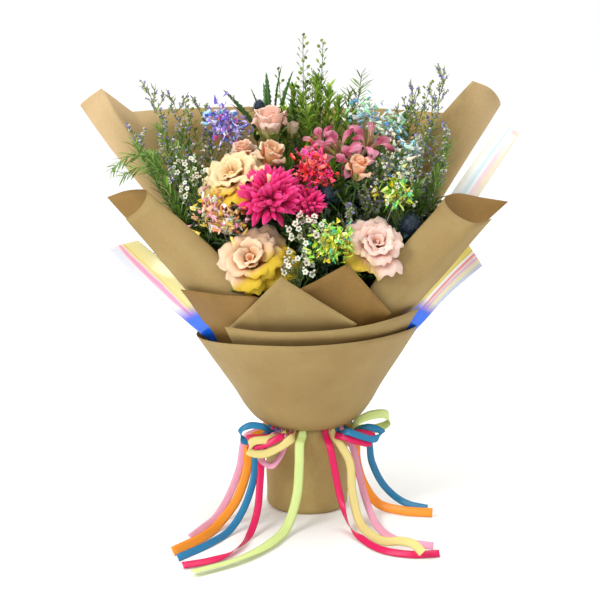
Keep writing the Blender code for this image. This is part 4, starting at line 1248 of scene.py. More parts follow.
@dataclass
class Ribbon:
    """One satin ribbon: a turn round the neck under the collar, with its tails and loops."""

    name: str
    width: float
    level: int
    runs: tuple[Run, ...]
    ring_radius: float = 0.0520
    ring_low: float = 0.1290
    ring_pitch: float = 0.0026
    ring_height: float = 0.0019
    folds: int = 5
    fold_depth: float = 0.0016
    gathered: float = 0.0022
    thickness: float = 0.0003
    turn_thickness: float = 0.00025
    bow: float = 0.0006
    off_floor: float = 0.0006
    # How far out of its turn a run leaves it, and how far above the turn's lower edge.
    out_by: float = 0.0032
    up_by: float = 0.001
    fine: int = 7
    spread: tuple = (0.0, 0.25, 0.70, 0.92)
    # Radius and height of the places below the collar's lower edge that a run passes.
    below_collar: tuple = ((0.0597, 0.1245), (0.0625, 0.1180))

    def lead(self, azimuth: float, z: float) -> list[Vector]:
        """The way from the turn to below the collar's lower edge."""
        lead = ((self.ring_radius, z), (self.ring_radius + self.out_by, z), *self.below_collar)
        return [around(radius, azimuth, height) for radius, height in lead]

    def route(self, run: Run, z: float) -> list[Vector]:
        """Every place that a tail or loop runs through, from its turn at height z."""
        back = [] if run.returns is None else self.lead(run.returns, z)[::-1]
        return [*self.lead(run.leaves, z), *places(*run.route), *back]

    def strap(self, run: Run, z: float) -> Form:
        """A tail or loop as a thin bowed band.

        Args:
            run: Where it goes.
            z: The height of its turn.

        Returns:
            The band.
        """
        route = self.route(run, z)
        last = len(route) - 1
        sides = []
        for index, place in enumerate(route):
            ahead = (route[min(index + 1, last)] - route[max(index - 1, 0)]).normalized()
            near = index if run.returns is None else min(index, last - index)
            share = self.spread[near] if near < len(self.spread) else 1.0
            level = Vector((-place.y, place.x, 0.0)).normalized()
            shown = ahead.cross(VIEWER) if run.returns is None else LOOP_LEAN - ahead * ahead.dot(LOOP_LEAN)
            if shown.dot(level) < 0:
                level = -level
            side = level.lerp(shown.normalized(), min(share * 1.5, 1.0))
            side -= ahead * ahead.dot(side)
            if run.twist and index >= run.twist_at:
                turn = run.twist * min(1.0, (index - run.twist_at + 1) / 2)
                side = Matrix.Rotation(math.radians(turn), 3, ahead) @ side
            sides.append(side.normalized() * (self.gathered + (self.width - self.gathered) * share))

        def place_on(u: float, v: float) -> Vector:
            """Bends the band along its route.

            Args:
                u: How far across, from 0 to 1.
                v: How far along, from 0 to 1.

            Returns:
                The place on it.
            """
            across = u - 0.5
            middle = smooth(route, v)
            side = smooth(sides, v)
            bow = VIEWER * (self.bow * (1 - 4 * across * across) * side.length / self.width)
            spot = middle + side * across + bow
            floor = self.off_floor + abs(side.z) * (0.5 + across if side.z > 0 else 0.5 - across)
            spot.z = max(spot.z, floor)
            return spot

        return Form.grid(place_on, 4, last * self.fine, self.thickness)

    def turn(self) -> Form:
        """The ribbon where it goes round the neck, gathered into pleats.

        Returns:
            The pleated band.
        """
        low = self.ring_low + self.level * self.ring_pitch

        def place_on(u: float, v: float) -> Vector:
            """A place on the pleated band, round by v and across its pleats by u."""
            out = self.fold_depth * abs((u * self.folds) % 2 - 1)
            return around(self.ring_radius - self.fold_depth / 2 + out, 360 * v, low + self.ring_height * u)

        return Form.grid(place_on, 10, 72, self.turn_thickness)

    def build(self, finish: bpy.types.Material) -> None:
        """Args:
            finish: Its satin.
        """
        bunch = Bunch(self.name + "_satin", [finish], random.Random(self.name))
        low = self.ring_low + self.level * self.ring_pitch
        length = math.tau * self.ring_radius
        bunch.add(self.turn(), Matrix.Identity(4), 0, 0.5)
        for run in self.runs:
            form = self.strap(run, low + self.up_by)
            bunch.add(form, Matrix.Identity(4), 0, 0.5)
            route = self.route(run, low)
            length += sum((b - a).length for a, b in zip(route, route[1:]))
        piece = seat(bunch.made(), self.name, self.name)


RIBBONS = (
    Ribbon("ribbon_pink", 0.010, 0, (
        Run(-74, ((-84, -32, 109), (-95, -48, 66), (-110, -66, 30), (-126, -88, 9), (-142, -120, 5),
                  (-157, -158, 5))),
        Run(-38, ((-46, -68, 120), (-62, -73, 106), (-65, -77, 90), (-50, -80, 80), (-35, -78, 97),
                  (-28, -73, 119)), -22),
        Run(50.5, ((62, -46, 100), (70, -50, 72), (79, -60, 35), (88, -80, 12), (98, -122, 5), (124, -172, 5),
                   (166, -190, 5))),
    )),
    Ribbon("ribbon_orange", 0.013, 1, (
        Run(-66, ((-78, -45, 108), (-84, -60, 68), (-98, -84, 32), (-118, -108, 10), (-140, -158, 6),
                  (-176, -212, 6))),
        Run(66, ((66, -28, 104), (70, -30, 70), (80, -32, 38), (100, -40, 12), (132, -56, 7), (175, -66, 7))),
    )),
    Ribbon("ribbon_teal", 0.010, 2, (
        Run(-58, ((-68, -55, 104), (-74, -72, 60), (-87, -100, 26), (-103, -130, 8), (-127, -176, 5),
                  (-168, -232, 5))),
        Run(-46, ((-62, -62, 131), (-80, -64, 133), (-93, -66, 125), (-89, -69, 114), (-70, -68, 111)), -40),
        Run(81.5, ((84, -16, 104), (92, -18, 66), (111, -18, 29), (134, -20, 9), (150, -30, 5),
                   (170, -42, 5))),
        Run(43, ((56, -66, 125), (74, -67, 119), (94, -64, 114), (104, -57, 121), (88, -51, 127)), 60),
    )),
    Ribbon("ribbon_magenta", 0.010, 3, (
        Run(-50, ((-60, -62, 102), (-65, -80, 60), (-68, -108, 27), (-76, -142, 8), (-90, -190, 5),
                  (-121, -238, 5), (-160, -258, 5)), twist_at=8, twist=-150),
        Run(-42, ((-62, -72, 118), (-82, -74, 116), (-81, -78, 109), (-60, -80, 110), (-36, -78, 121)), -20),
        Run(36, ((50, -64, 117), (68, -68, 112), (87, -65, 109), (91, -60, 116), (74, -54, 120)), 52),
        Run(24, ((31, -72, 106), (36, -78, 84), (45, -92, 41), (56, -118, 10), (72, -160, 5), (104, -208, 5),
                 (136, -220, 5), (172, -216, 5)), twist_at=7, twist=160),
    )),
    Ribbon("ribbon_lime", 0.013, 4, (
        Run(-6, ((-10, -76, 112), (-11, -82, 83), (-14, -98, 45), (-27, -132, 12), (-49, -184, 7),
                 (-90, -240, 7), (-146, -284, 7)), twist_at=8, twist=64),
        Run(66, ((72, -50, 137), (92, -47, 144), (111, -41, 142), (115, -35, 131), (99, -35, 121),
                 (78, -38, 121)), 70),
    )),
    Ribbon("ribbon_yellow", 0.012, 5, (
        Run(34, ((47, -64, 104), (58, -66, 84), (62, -80, 45), (70, -104, 12), (83, -146, 7), (104, -186, 10),
                 (122, -203, 17), (138, -220, 19), (148, -240, 15))),
        Run(-16, ((-20, -75, 119), (-40, -83, 107), (-64, -87, 99), (-80, -85, 103), (-78, -80, 112),
                  (-52, -76, 117)), -30),
    )),
)
RIBBON_FINISHES = (
    SatinRibbon("satin_pink", "#f8aecb", "#eb95b8", 0.82),
    SatinRibbon("satin_orange", "#ff9a26", "#ef8412"),
    SatinRibbon("satin_teal", "#1d7fb0", "#146a97"),
    SatinRibbon("satin_magenta", "#e00a5a", "#b9063f"),
    SatinRibbon("satin_lime", "#d9ec96", "#c5da7c"),
    SatinRibbon("satin_yellow", "#ead98a", "#d6c470"),
)


# Stems

def root_of(tip: Vector) -> Vector:
    """Where a stem stands in the bundle, from the way it leans.

    Args:
        tip: Its tip.

    Returns:
        The place in the bundle, at height 0.
    """
    root = Vector((tip.x, tip.y, 0.0)) * (ROOT_REACH / (tip.z - FORK_Z))
    if root.length > BUNDLE_RADIUS:
        root *= BUNDLE_RADIUS / root.length
    return root


def stem_at(tip: Vector, z: float) -> Vector:
    """The place at a height on the stem that ends at a tip.

    Args:
        tip: The tip.
        z: The height.

    Returns:
        The place.
    """
    root = root_of(tip)
    share = max(0.0, (z - FORK_Z) / (tip.z - FORK_Z))
    return Vector((root.x, root.y, z)).lerp(Vector((tip.x, tip.y, z)), share)


def stem(stalks: Stalks, tip: Vector, low: float, high: float, bow: float = 0.0) -> None:
    """Adds a main stem, from the floor of the foot to a tip.

    Args:
        stalks: Where it is gathered.
        tip: Its tip.
        low: Its radius at the foot.
        high: Its radius at the tip.
        bow: How far it bows outward halfway.
    """
    root = root_of(tip)
    points = [Vector((root.x, root.y, BORE_FLOOR))]
    out = Vector((tip.x, tip.y, 0.0)).normalized()
    for index in range(9):
        share = index / 8
        z = FORK_Z + (tip.z - FORK_Z) * share
        points.append(stem_at(tip, z) + out * bow * math.sin(math.pi * share))
    stalks.add(points, low, high)


# Forms of petals, leaves and florets

@dataclass(frozen=True)
class Ring:
    """A ring of petals: how many, their span in degrees, and how far out and up they reach."""

    count: int
    span: float
    reach: float
    lift: float
    curl: float = 0.0
    ruffle: float = 0.0
    point: float = 0.42
    fill: float = 1.15

    def form(self, phase: float, columns: int = 14, steps: int = 10) -> Form:
        """One petal of the ring, of unit radius.

        Args:
            phase: Shifts the waves of its rim.
            columns: Faces across.
            steps: Faces along.

        Returns:
            The petal.
        """
        def place(u: float, v: float) -> Vector:
            """Cups and ruffles the petal.

            Args:
                u: How far across, from 0 to 1.
                v: How far out, from 0 to 1.

            Returns:
                The place on it.
            """
            across = 2 * u - 1
            shoulder = max(0.0, (v - 0.62) / 0.38)
            wide = 1.0 - self.point * shoulder**2.2
            out = self.reach * (0.10 + v**self.fill * (1 - 0.10 * across * across * v) + 0.10 * across * v)
            out += self.reach * 0.10 * self.curl * shoulder**2
            up = self.lift * (math.sin(v * math.pi * 0.5) - self.curl * v**4 - 0.12 * across * across * v)
            wave = v * v * math.cos(across * math.pi * 1.5 + phase)
            wave += 0.62 * v**4 * math.cos(across * math.pi * 3.6 + phase * 2.3)
            wave += 0.24 * v**6 * math.cos(across * math.pi * 8.3 + phase * 5.1)
            up += self.ruffle * self.reach * wave
            out += self.ruffle * 0.5 * self.reach * v**3 * math.sin(across * math.pi * 3.1 + phase)
            angle = math.radians(across * self.span / 2 * (0.42 + 0.58 * v) * wide)
            return Vector((out * math.cos(angle), out * math.sin(angle), up))

        return Form.grid(place, columns, steps, 0.008)


def leaf_form(length: float, width: float, arch: float, fold: float, columns: int = 4, steps: int = 7,
              teeth: int = 0, tooth: float = 0.0, sharp: float = 0.75) -> Form:
    """A leaf that grows along +Z from the origin with its upper side towards +Y.

    Args:
        length: Its length.
        width: Its width.
        arch: How far it bows back, against its length.
        fold: How far its halves rise from the rib, against its width.
        columns: Faces across.
        steps: Faces along.
        teeth: Teeth down each edge.
        tooth: Their depth, against half the width.
        sharp: The power of its outline; more is slimmer.

    Returns:
        The leaf.
    """
    def place(u: float, v: float) -> Vector:
        """Folds and arches the leaf.

        Args:
            u: How far across, from 0 to 1.
            v: How far along, from 0 to 1.

        Returns:
            The place on it.
        """
        across = 2 * u - 1
        outline = max(math.sin(math.pi * v**0.85), 0.0) ** sharp
        if teeth:
            outline *= 1 - tooth * ((v * teeth) % 1.0)
        bow = -arch * length * v * v
        rise = fold * width * abs(across) * outline
        return Vector((width / 2 * outline * across, bow + rise, length * v))

    return Form.grid(place, columns, steps, min(0.0004, width * 0.05), welded=True)


def blossom_form(petals: int, radius: float, depth: float, notch: float, columns: int = 20,
                 steps: int = 4) -> Form:
    """A small open flower round +Z, with its petals as lobes.

    Args:
        petals: How many lobes.
        radius: How far they reach.
        depth: How far the rim stands above the centre.
        notch: How deep the gaps between the lobes are.
        columns: Faces round.
        steps: Faces from the centre out.

    Returns:
        The flower; v in its UV map runs from the centre to the rim.
    """
    def place(u: float, v: float) -> Vector:
        """Opens the flower.

        Args:
            u: How far round, from 0 to 1.
            v: How far out, from 0 to 1.

        Returns:
            The place on it.
        """
        angle = math.tau * u
        lobe = abs(math.sin(petals * angle / 2)) ** 0.7
        reach = radius * v * (1 - notch * (1 - lobe) * v)
        height = depth * (v**1.4 - 0.35 * v**4 * lobe) - radius * 0.25 * (1 - v) ** 2
        return Vector((reach * math.cos(angle), reach * math.sin(angle), height))

    return Form.grid(place, columns, steps, radius * 0.05, welded=True)


def sliver_form(length: float, width: float, curl: float) -> Form:
    """A curled strip of tinsel that leaves the origin along +Z.

    Args:
        length: Its length.
        width: Its width at the origin.
        curl: How far it turns by its end, in radians.

    Returns:
        The strip.
    """
    def place(u: float, v: float) -> Vector:
        """Curls the strip.

        Args:
            u: How far across, from 0 to 1.
            v: How far along, from 0 to 1.

        Returns:
            The place on it.
        """
        across = (u - 0.5) * width * (1 - 0.55 * v)
        turn = curl * v
        bow = 0.25 * length * v * v * math.sin(curl)
        return Vector((across * math.cos(turn), across * math.sin(turn) + bow, length * v * (1 - 0.15 * v)))

    return Form.grid(place, 1, 5, 0.00015)


# Flowers

class Stage(Enum):
    """How far a rose has opened, as its rings of petals."""

    OPEN = (
        Ring(3, 160, 0.12, 0.60, 0.0, 0.04), Ring(3, 150, 0.25, 0.73, 0.02, 0.06),
        Ring(3, 145, 0.40, 0.80, 0.06, 0.08), Ring(4, 128, 0.57, 0.76, 0.14, 0.09),
        Ring(4, 124, 0.78, 0.62, 0.27, 0.10), Ring(5, 112, 1.00, 0.42, 0.42, 0.11),
    )
    HALF = (
        Ring(3, 190, 0.18, 1.20, 0.0, 0.02, fill=0.6), Ring(3, 160, 0.34, 1.38, 0.0, 0.04, fill=0.6),
        Ring(4, 128, 0.50, 1.38, 0.04, 0.05, fill=0.6), Ring(4, 120, 0.68, 1.26, 0.12, 0.07, fill=0.65),
        Ring(4, 108, 0.90, 1.00, 0.32, 0.09, fill=0.75),
    )
    GOBLET = (
        Ring(3, 190, 0.18, 1.40, 0.0, 0.03, fill=0.5), Ring(3, 165, 0.33, 1.56, 0.0, 0.04, fill=0.5),
        Ring(3, 150, 0.48, 1.64, 0.03, 0.05, fill=0.5), Ring(3, 132, 0.62, 1.58, 0.10, 0.06, 0.62, 0.52),
        Ring(3, 100, 0.76, 1.30, 0.30, 0.08, 0.72, 0.62),
    )
    BUD = (
        Ring(3, 190, 0.20, 1.70, fill=0.5), Ring(3, 160, 0.38, 1.85, 0.0, 0.03, fill=0.5),
        Ring(4, 128, 0.54, 1.76, 0.03, 0.04, fill=0.5), Ring(3, 120, 0.68, 1.50, 0.08, 0.05, 0.7, 0.55),
    )


@dataclass
class Plant:
    """A flower or spray, which stands for the node of its name.

    A class of plants sets kind, the start of its nodes' names, ending, the end of its pieces' names, and
    slot, the record's material slot, which is the node's own name where it is left empty.
    """

    name: str
    kind = ""
    ending = ""
    slot = ""

    @property
    def label(self) -> str:
        """Which of its kind it is, such as the left one."""
        return self.name.removeprefix(self.kind)

    def finishes(self) -> list:
        """Its finishes, in the order of their slots."""
        raise NotImplementedError

    def grow(self) -> None:
        """Fills its bunch."""
        raise NotImplementedError

    def build(self, walls: Sequence[BVHTree]) -> None:
        """Makes the plant's piece.

        Args:
            walls: The papers that it keeps clear of.
        """
        finishes = [finish.material() for finish in self.finishes()]
        self.bunch = Bunch(self.name + self.ending, finishes, random.Random(self.name), walls)
        self.grow()
        seat(self.bunch.made(), self.slot or self.name, self.name)


@dataclass
class Rose(Plant):
    """A rose: where it is, the way it faces, its size, how far it has opened and its flesh."""

    place: Vector
    facing: Vector
    radius: float
    stage: Stage
    depth: float
    flesh: PetalFlesh
    slot: str = "peach"
    turn: float = 41.0
    lean: float = 8.0
    # A petal that would cut a paper is tried again smaller.
    sizes: tuple = (1.0, 0.86, 0.72)
    kind = "rose_"
    ending = "_petals"

    def finishes(self) -> list:
        """The petals' flesh and the sepals' green."""
        return [self.flesh, LeafFlesh("sepal_" + self.label, "#6d8436", "#93a548", "#b4c070")]

    def grow(self) -> None:
        """Adds the rings of petals and the calyx."""
        bunch = self.bunch
        axis = self.facing.normalized()
        frame = Matrix.Translation(self.place - axis * self.radius * self.depth * 0.5) @ turned_to(axis)
        for level, ring in enumerate(self.stage.value):
            forms = [ring.form(1.7 * level + phase) for phase in (0.0, 2.1)]
            for index in range(ring.count):
                spin = Matrix.Rotation(math.radians(360 * index / ring.count + level * self.turn), 4, "Z")
                lean = Matrix.Rotation(math.radians(bunch.rng.uniform(-self.lean, self.lean)), 4, "Y")
                for size in self.sizes:
                    matrix = frame @ spin @ lean @ Matrix.Scale(self.radius * size, 4)
                    if bunch.fit(forms[index % 2], matrix):
                        break
        # A tall bloom has its sepals up against it, a flat one has them spread.
        reach, lift = (0.62, 0.80) if self.depth > 1 else (0.75, 0.10)
        calyx = Ring(5, 58, reach, lift, 0.1, 0.05, 1.0, 0.62)
        sepal = calyx.form(0.6, 6, 7)
        for index in range(calyx.count):
            spin = Matrix.Rotation(math.radians(360 / calyx.count * index + 20), 4, "Z")
            bunch.add(sepal, frame @ spin @ Matrix.Scale(self.radius, 4), 1)


# Each rose's first colour, at the petals' roots, is partly painted light: a warm glow for light passing
# through the petals.
ROSES = (
    Rose("rose_front_left", mm(-74, -128, 377), Vector((-0.15, -0.75, 0.65)), 0.052, Stage.OPEN, 0.80,
         PetalFlesh("petal_peach_gold", "#e08c28", "#fac494", "#fbd5b4", "#dfb824", (-0.068, -0.140, 0.376),
                    (0.66, -0.10, -0.74))),
    Rose("rose_front_right", mm(90, -118, 396), Vector((0.12, -0.75, 0.66)), 0.042, Stage.OPEN, 0.80,
         PetalFlesh("petal_pink_gold", "#ee8f74", "#fbc2b0", "#fcd4c6", "#dfb83a", (0.076, -0.130, 0.384),
                    (-0.76, -0.05, -0.64))),
    Rose("rose_open_left", mm(-98, -78, 480), Vector((-0.35, -0.55, 0.75)), 0.047, Stage.OPEN, 0.80,
         PetalFlesh("petal_peach_amber", "#e8983a", "#f9cb92", "#fbd8a8", "#e8b62e", (-0.098, -0.092, 0.472),
                    (0.10, -0.25, -0.96))),
    Rose("rose_half_left", mm(-50, -56, 500), Vector((0.25, -0.34, 0.90)), 0.026, Stage.GOBLET, 1.3,
         PetalFlesh("petal_apricot", "#e09a40", "#f3b98a", "#fad0b0")),
    Rose("rose_bud_left", mm(-86, -34, 510), Vector((-0.20, -0.35, 0.90)), 0.021, Stage.HALF, 1.5,
         PetalFlesh("petal_peach_bud", "#f0a878", "#f9bfa0", "#fccfb8")),
    Rose("rose_bud_top", mm(-51, -4, 534), Vector((-0.05, -0.16, 0.98)), 0.034, Stage.GOBLET, 1.3,
         PetalFlesh("petal_peach_high", "#c8c06a", "#f9c4ae", "#fbcdbc")),
    Rose("rose_bud_small", mm(-20, 6, 533), Vector((0.10, -0.05, 0.99)), 0.0135, Stage.BUD, 1.75,
         PetalFlesh("petal_cream", "#dccf84", "#f9e3c0", "#fcd6c4"), "cream"),
    Rose("rose_bud_right", mm(67, -78, 492), Vector((0.15, -0.35, 0.92)), 0.022, Stage.GOBLET, 1.75,
         PetalFlesh("petal_salmon", "#f09a6c", "#f9ae86", "#fdc4a4")),
)


@dataclass
class MagentaHead(Plant):
    """A loose head of tube-like florets with paler tips."""

    place: Vector
    radius: float
    count: int
    # Where the florets root, and how far each axis of their lean strays.
    roots: tuple[float, float, float] = (0.42, 0.42, 0.30)
    stray: tuple[float, float] = (-0.38, 0.38)
    kind = "magenta_head_"
    ending = "_florets"
    slot = "magenta"

    def finishes(self) -> list:
        """The florets' flesh."""
        return [PetalFlesh("floret_magenta_" + self.label, "#96004a", "#ee0a76", "#ff4a9c", shade=0.66)]

    def grow(self) -> None:
        """Adds the core and the florets on it."""
        bunch = self.bunch

        def bulge(place: Vector) -> Vector:
            """Shapes a floret: slim at its root, full near its tip and a little bowed.

            Args:
                place: A place on the unit ball.

            Returns:
                The place on the floret.
            """
            share = (place.z + 1) / 2
            full = 0.32 + 0.78 * math.sin(math.pi * min(share * 0.86, 1.0)) ** 1.3
            lobe = 1.0 + 0.22 * math.cos(3 * math.atan2(place.y, place.x)) * share
            bow = 0.14 * share * share
            return Vector((place.x * 0.145 * full * lobe, place.y * 0.125 * full * lobe - bow, share))

        form = Form.drop(8, 7, bulge)
        axis = Vector((self.place.x * 1.2, -0.55, 0.85)).normalized()
        frame = Matrix.Translation(self.place) @ turned_to(axis)
        turn = frame.to_3x3()
        core = Form.drop(10, 8, lambda place: place * self.radius * 0.5)
        bunch.add(core, Matrix.Translation(self.place), 0, 0.0)
        for index in range(self.count):
            out = spiral(index, self.count, 0.95, -0.35)
            base = frame @ Vector([part * self.radius * share for part, share in zip(out, self.roots)])
            lean = (turn @ out + drawn(bunch.rng, *[self.stray] * 3) + UP * 0.25).normalized()
            size = self.radius * 0.68 * bunch.rng.uniform(0.75, 1.12)
            bunch.fit(form, standing(base, lean, bunch.rng.uniform(0, 360), size))


HEADS = (MagentaHead("magenta_head_left", mm(-50, -100, 456), 0.042, 170),
         MagentaHead("magenta_head_right", mm(0, -104, 447), 0.025, 80))


@dataclass
class Alstroemeria:
    """Open alstroemeria flowers: three broad and three narrow streaked petals, and stamens."""

    blooms: tuple = ((mm(40, -48, 512), Vector((-0.2, -0.6, 0.75)), 0.033),
                     (mm(84, -30, 520), Vector((0.35, -0.45, 0.8)), 0.032),
                     (mm(16, -36, 520), Vector((-0.6, -0.45, 0.7)), 0.026),
                     (mm(62, -62, 498), Vector((0.1, -0.8, 0.5)), 0.024))
    broad: Ring = Ring(3, 56, 1.0, 0.74, 0.30, 0.07, 0.80)
    narrow: Ring = Ring(3, 34, 0.95, 0.98, 0.30, 0.03, 0.92)

    def build(self, walls: Sequence[BVHTree]) -> None:
        """Makes the flowers, joined by their tubes.

        Args:
            walls: The papers that it keeps clear of.
        """
        plain = PetalFlesh("alstroemeria_outer", "#d89a90", "#bc3a62", "#ec94aa").material()
        marked = PetalFlesh("alstroemeria_inner", "#e8d268", "#e08a9a", "#b83060",
                            streaks="#4c1028").material()
        green = Mottled("alstroemeria_tube", "#8f9c58", "#b8746c").material()
        bunch = Bunch("alstroemeria_flowers", [plain, marked, green], random.Random("lily"), walls)
        hub = (self.blooms[0][0] + self.blooms[1][0]) / 2 - mm(0, -14, 24)
        broad = [self.broad.form(phase) for phase in (0.4, 2.4)]
        narrow = [self.narrow.form(phase) for phase in (0.0, 1.1)]
        tubes = Stalks()
        for place, facing, radius in self.blooms:
            axis = facing.normalized()
            frame = Matrix.Translation(place - axis * radius * 0.35) @ turned_to(axis)
            bend = hub.lerp(frame.translation, 0.6) - mm(0, 0, 2)
            tubes.add([hub, bend, frame @ mm(0, 0, 3)], 0.0020, 0.0034)
            for index in range(6):
                spin = Matrix.Rotation(math.radians(index * 60 + bunch.rng.uniform(-6, 6)), 4, "Z")
                form = narrow[index // 2 % 2] if index % 2 else broad[index // 2 % 2]
                bunch.fit(form, frame @ spin @ Matrix.Scale(radius, 4), index % 2)
            for index in range(5):
                end = frame @ around(radius * 0.22, index * 72 + 20, radius * 0.85)
                middle = frame @ around(radius * 0.08, index * 72 + 20, radius * 0.5)
                tubes.add([frame @ mm(0, 0, 1), middle, end, end + axis * 0.002], 0.0005, 0.0011)
        bunch.stalks(tubes, 2)
        seat(bunch.made(), "dusky_pink", "alstroemeria_bloom")


@dataclass
class Thistle(Plant):
    """A sea holly: a cone packed with spines over a ring of long toothed bracts."""

    place: Vector
    radius: float
    spines: int = 190
    bracts: int = 11
    kind = "thistle_"
    ending = "_flower"
    slot = "thistle_blue"

    def finishes(self) -> list:
        """The cone, the bracts and the stem."""
        return [Mottled("sea_holly_cone_" + self.label, "#131d2a", "#33485c", 0.5, 300.0),
                LeafFlesh("sea_holly_bract_" + self.label, "#16262c", "#35525a", "#5f7c80"),
                Mottled("sea_holly_stem_" + self.label, "#3c5a5e", "#54746a")]

    def grow(self) -> None:
        """Adds the cone, its bracts and its stem."""
        bunch = self.bunch
        axis = Vector((self.place.x * 0.8, -0.35 if self.place.y < 0 else -0.05, 0.9)).normalized()
        frame = Matrix.Translation(self.place) @ turned_to(axis)
        turn = frame.to_3x3()
        size = self.radius
        body = Form.drop(12, 9, lambda place: Vector((place.x * size, place.y * size, place.z * size * 1.3)))
        bunch.add(body, frame, 0, 0.2)
        spine = Form.drop(4, 3, lambda place: Vector((place.x * 0.10, place.y * 0.10, (place.z + 1) / 2)))
        rng = bunch.rng
        for index in range(self.spines):
            out = spiral(index, self.spines, 0.98, -0.75)
            root = frame @ Vector((out.x * size * 0.9, out.y * size * 0.9, out.z * size * 1.2))
            lean = turn @ (out + UP * 0.35)
            bunch.add(spine, standing(root, lean.normalized(), 0, size * rng.uniform(0.35, 0.55)))
        leaf = leaf_form(1.0, 0.30, 0.10, 0.16, 4, 20, 10, 0.55, 0.8)
        for index in range(self.bracts):
            out = turn @ around(1.0, 360 * index / self.bracts, 0.25 + rng.uniform(-0.1, 0.25))
            base = self.place - axis * size * 0.9 + out * size * 0.3
            matrix = standing(base, out.normalized(), rng.uniform(-25, 25), size * rng.uniform(2.3, 2.9))
            bunch.fit(leaf, matrix, 1)
        stalks = Stalks()
        stem(stalks, self.place - axis * size, 0.0013, 0.0012)
        bunch.stalks(stalks, 2)


THISTLES = (Thistle("thistle_centre", mm(25, -90, 458), 0.0085),
            Thistle("thistle_right", mm(137, -72, 414), 0.0115),
            Thistle("thistle_top", mm(-66, 28, 564), 0.0070))


@dataclass
class Waxflower(Plant):
    """Waxflower sprigs: five-lobed white flowers with dark centres, buds and needle leaves."""

    tips: tuple
    reach: float
    count: int
    size: float
    kind = "waxflower_"
    ending = "_flowers"
    slot = "white"

    def finishes(self) -> list:
        """The petals' flesh and the green."""
        return [PetalFlesh("waxflower_" + self.label, "#4a1a1e", "#e9dfc4", "#f6f0dc"),
                Mottled("waxflower_green_" + self.label, "#48602e", "#6f8440")]

    def grow(self) -> None:
        """Adds the sprigs of one node."""
        bunch = self.bunch
        flower = blossom_form(5, self.size, self.size * 0.2, 0.30)
        bud = Form.drop(6, 5, lambda place: Vector((place.x * 0.0017, place.y * 0.0017, place.z * 0.0022)))
        needle = leaf_form(0.012, 0.0012, 0.1, 0.0, 1, 3)
        stalks = Stalks()
        rng = bunch.rng
        for tip in self.tips:
            stem(stalks, tip - mm(0, 0, 12), 0.0012, 0.0007)
            base = tip - mm(0, -0.012, self.reach * 1600)
            for index in range(self.count):
                out = spiral(index, self.count, 0.95, -0.55)
                out = Vector((out.x, out.y * 0.8 - 0.25, out.z * 1.1))
                place = tip + out * self.reach * rng.uniform(0.62, 1.05)
                facing = (out * 0.6 + Vector((0, -0.75, 0.45))).normalized()
                fork = base.lerp(tip, rng.uniform(0.2, 0.8)) + out * self.reach * 0.2
                if not bunch.fit(flower, standing(place, facing, rng.uniform(0, 72), rng.uniform(0.82, 1.1))):
                    continue
                stalks.add([base.lerp(tip, 0.1), fork, place - facing * 0.0015], 0.0005, 0.0004)
                for _ in range(3):
                    spot = fork.lerp(place, rng.random())
                    lean = drawn(rng, (-1, 1), (-1, 0.6), (-0.1, 1)).normalized()
                    bunch.add(needle, standing(spot, lean, rng.uniform(0, 360)), 1)
                for _ in range(rng.choice((0, 1, 2))):
                    beside = place + mm(rng.uniform(-5, 5), rng.uniform(-3, 3), 5)
                    bunch.add(bud, standing(beside, facing), 0, 0.2)
        bunch.stalks(stalks, 1)


WAXFLOWERS = (
    Waxflower("waxflower_centre", places((0, -128, 416), (-14, -140, 370)), 0.026, 16, 0.0050),
    Waxflower("waxflower_left", places((-166, -32, 480), (-148, -60, 462)), 0.026, 14, 0.0038),
    Waxflower("waxflower_right", places((100, -50, 478), (124, -40, 486), (118, -66, 456)), 0.030, 9,
              0.0030),
)


@dataclass
class SeaLavender(Plant):
    """Sea-lavender sprays: fine green branches with crowds of tiny purple and white florets."""

    tips: tuple
    reach: float
    florets: int = 12
    branches: int = 11
    kind = "sea_lavender_"
    ending = "_spray"
    slot = "purple"

    def finishes(self) -> list:
        """The purple and the pale florets and the green."""
        return [Mottled("statice_purple_" + self.label, "#6f60b4", "#a99be0", 0.6, 300.0),
                Mottled("statice_pale_" + self.label, "#cdc4b8", "#f1ece2", 0.6, 300.0),
                Mottled("statice_green_" + self.label, "#5c7830", "#a0b254")]

    def grow(self) -> None:
        """Adds the sprays of one node."""
        bunch = self.bunch
        floret = blossom_form(5, 0.0021, 0.0014, 0.35, 10, 2)
        cup = Form.drop(5, 4, lambda p: Vector((p.x * 0.0009, p.y * 0.0009, p.z * 0.0022)))
        leaf = leaf_form(0.009, 0.0014, 0.1, 0.1, 1, 3)
        stalks = Stalks()
        rng = bunch.rng
        for tip in self.tips:
            stem(stalks, tip, 0.0012, 0.0005, 0.004)
            low = tip.z - 2.4 * self.reach
            for index in range(self.branches):
                share = index / self.branches
                start = stem_at(tip, low + (tip.z - low) * share)
                out = around(1.0, index * NEXT_TURN + rng.uniform(-40, 40), 1.1 + rng.random()).normalized()
                end = start + out * self.reach * (1.0 - 0.55 * share) * rng.uniform(0.8, 1.05)
                bend = start.lerp(end, 0.55) - UP * 0.003
                stalks.add([start, bend, end], 0.0009, 0.0005)
                for step in range(self.florets):
                    spot = bend.lerp(end, step / self.florets) if step % 3 else start.lerp(bend, rng.random())
                    lean = (out + drawn(rng, (-1, 1), (-1, 1), (-0.2, 1))).normalized()
                    head = spot + lean * rng.uniform(0.003, 0.006)
                    slot = 0 if rng.random() < 0.50 else 1
                    bunch.add(floret, standing(head, lean, rng.uniform(0, 72), rng.uniform(0.8, 1.25)), slot)
                    bunch.add(cup, standing(head - lean * 0.0016, lean), 2)
                    stalks.add([spot, head], 0.0003, 0.0003)
                    if step % 2 == 0:
                        bunch.add(leaf, standing(spot, lean, rng.uniform(0, 360), rng.uniform(0.8, 1.6)), 2)
        bunch.stalks(stalks, 2, 0)


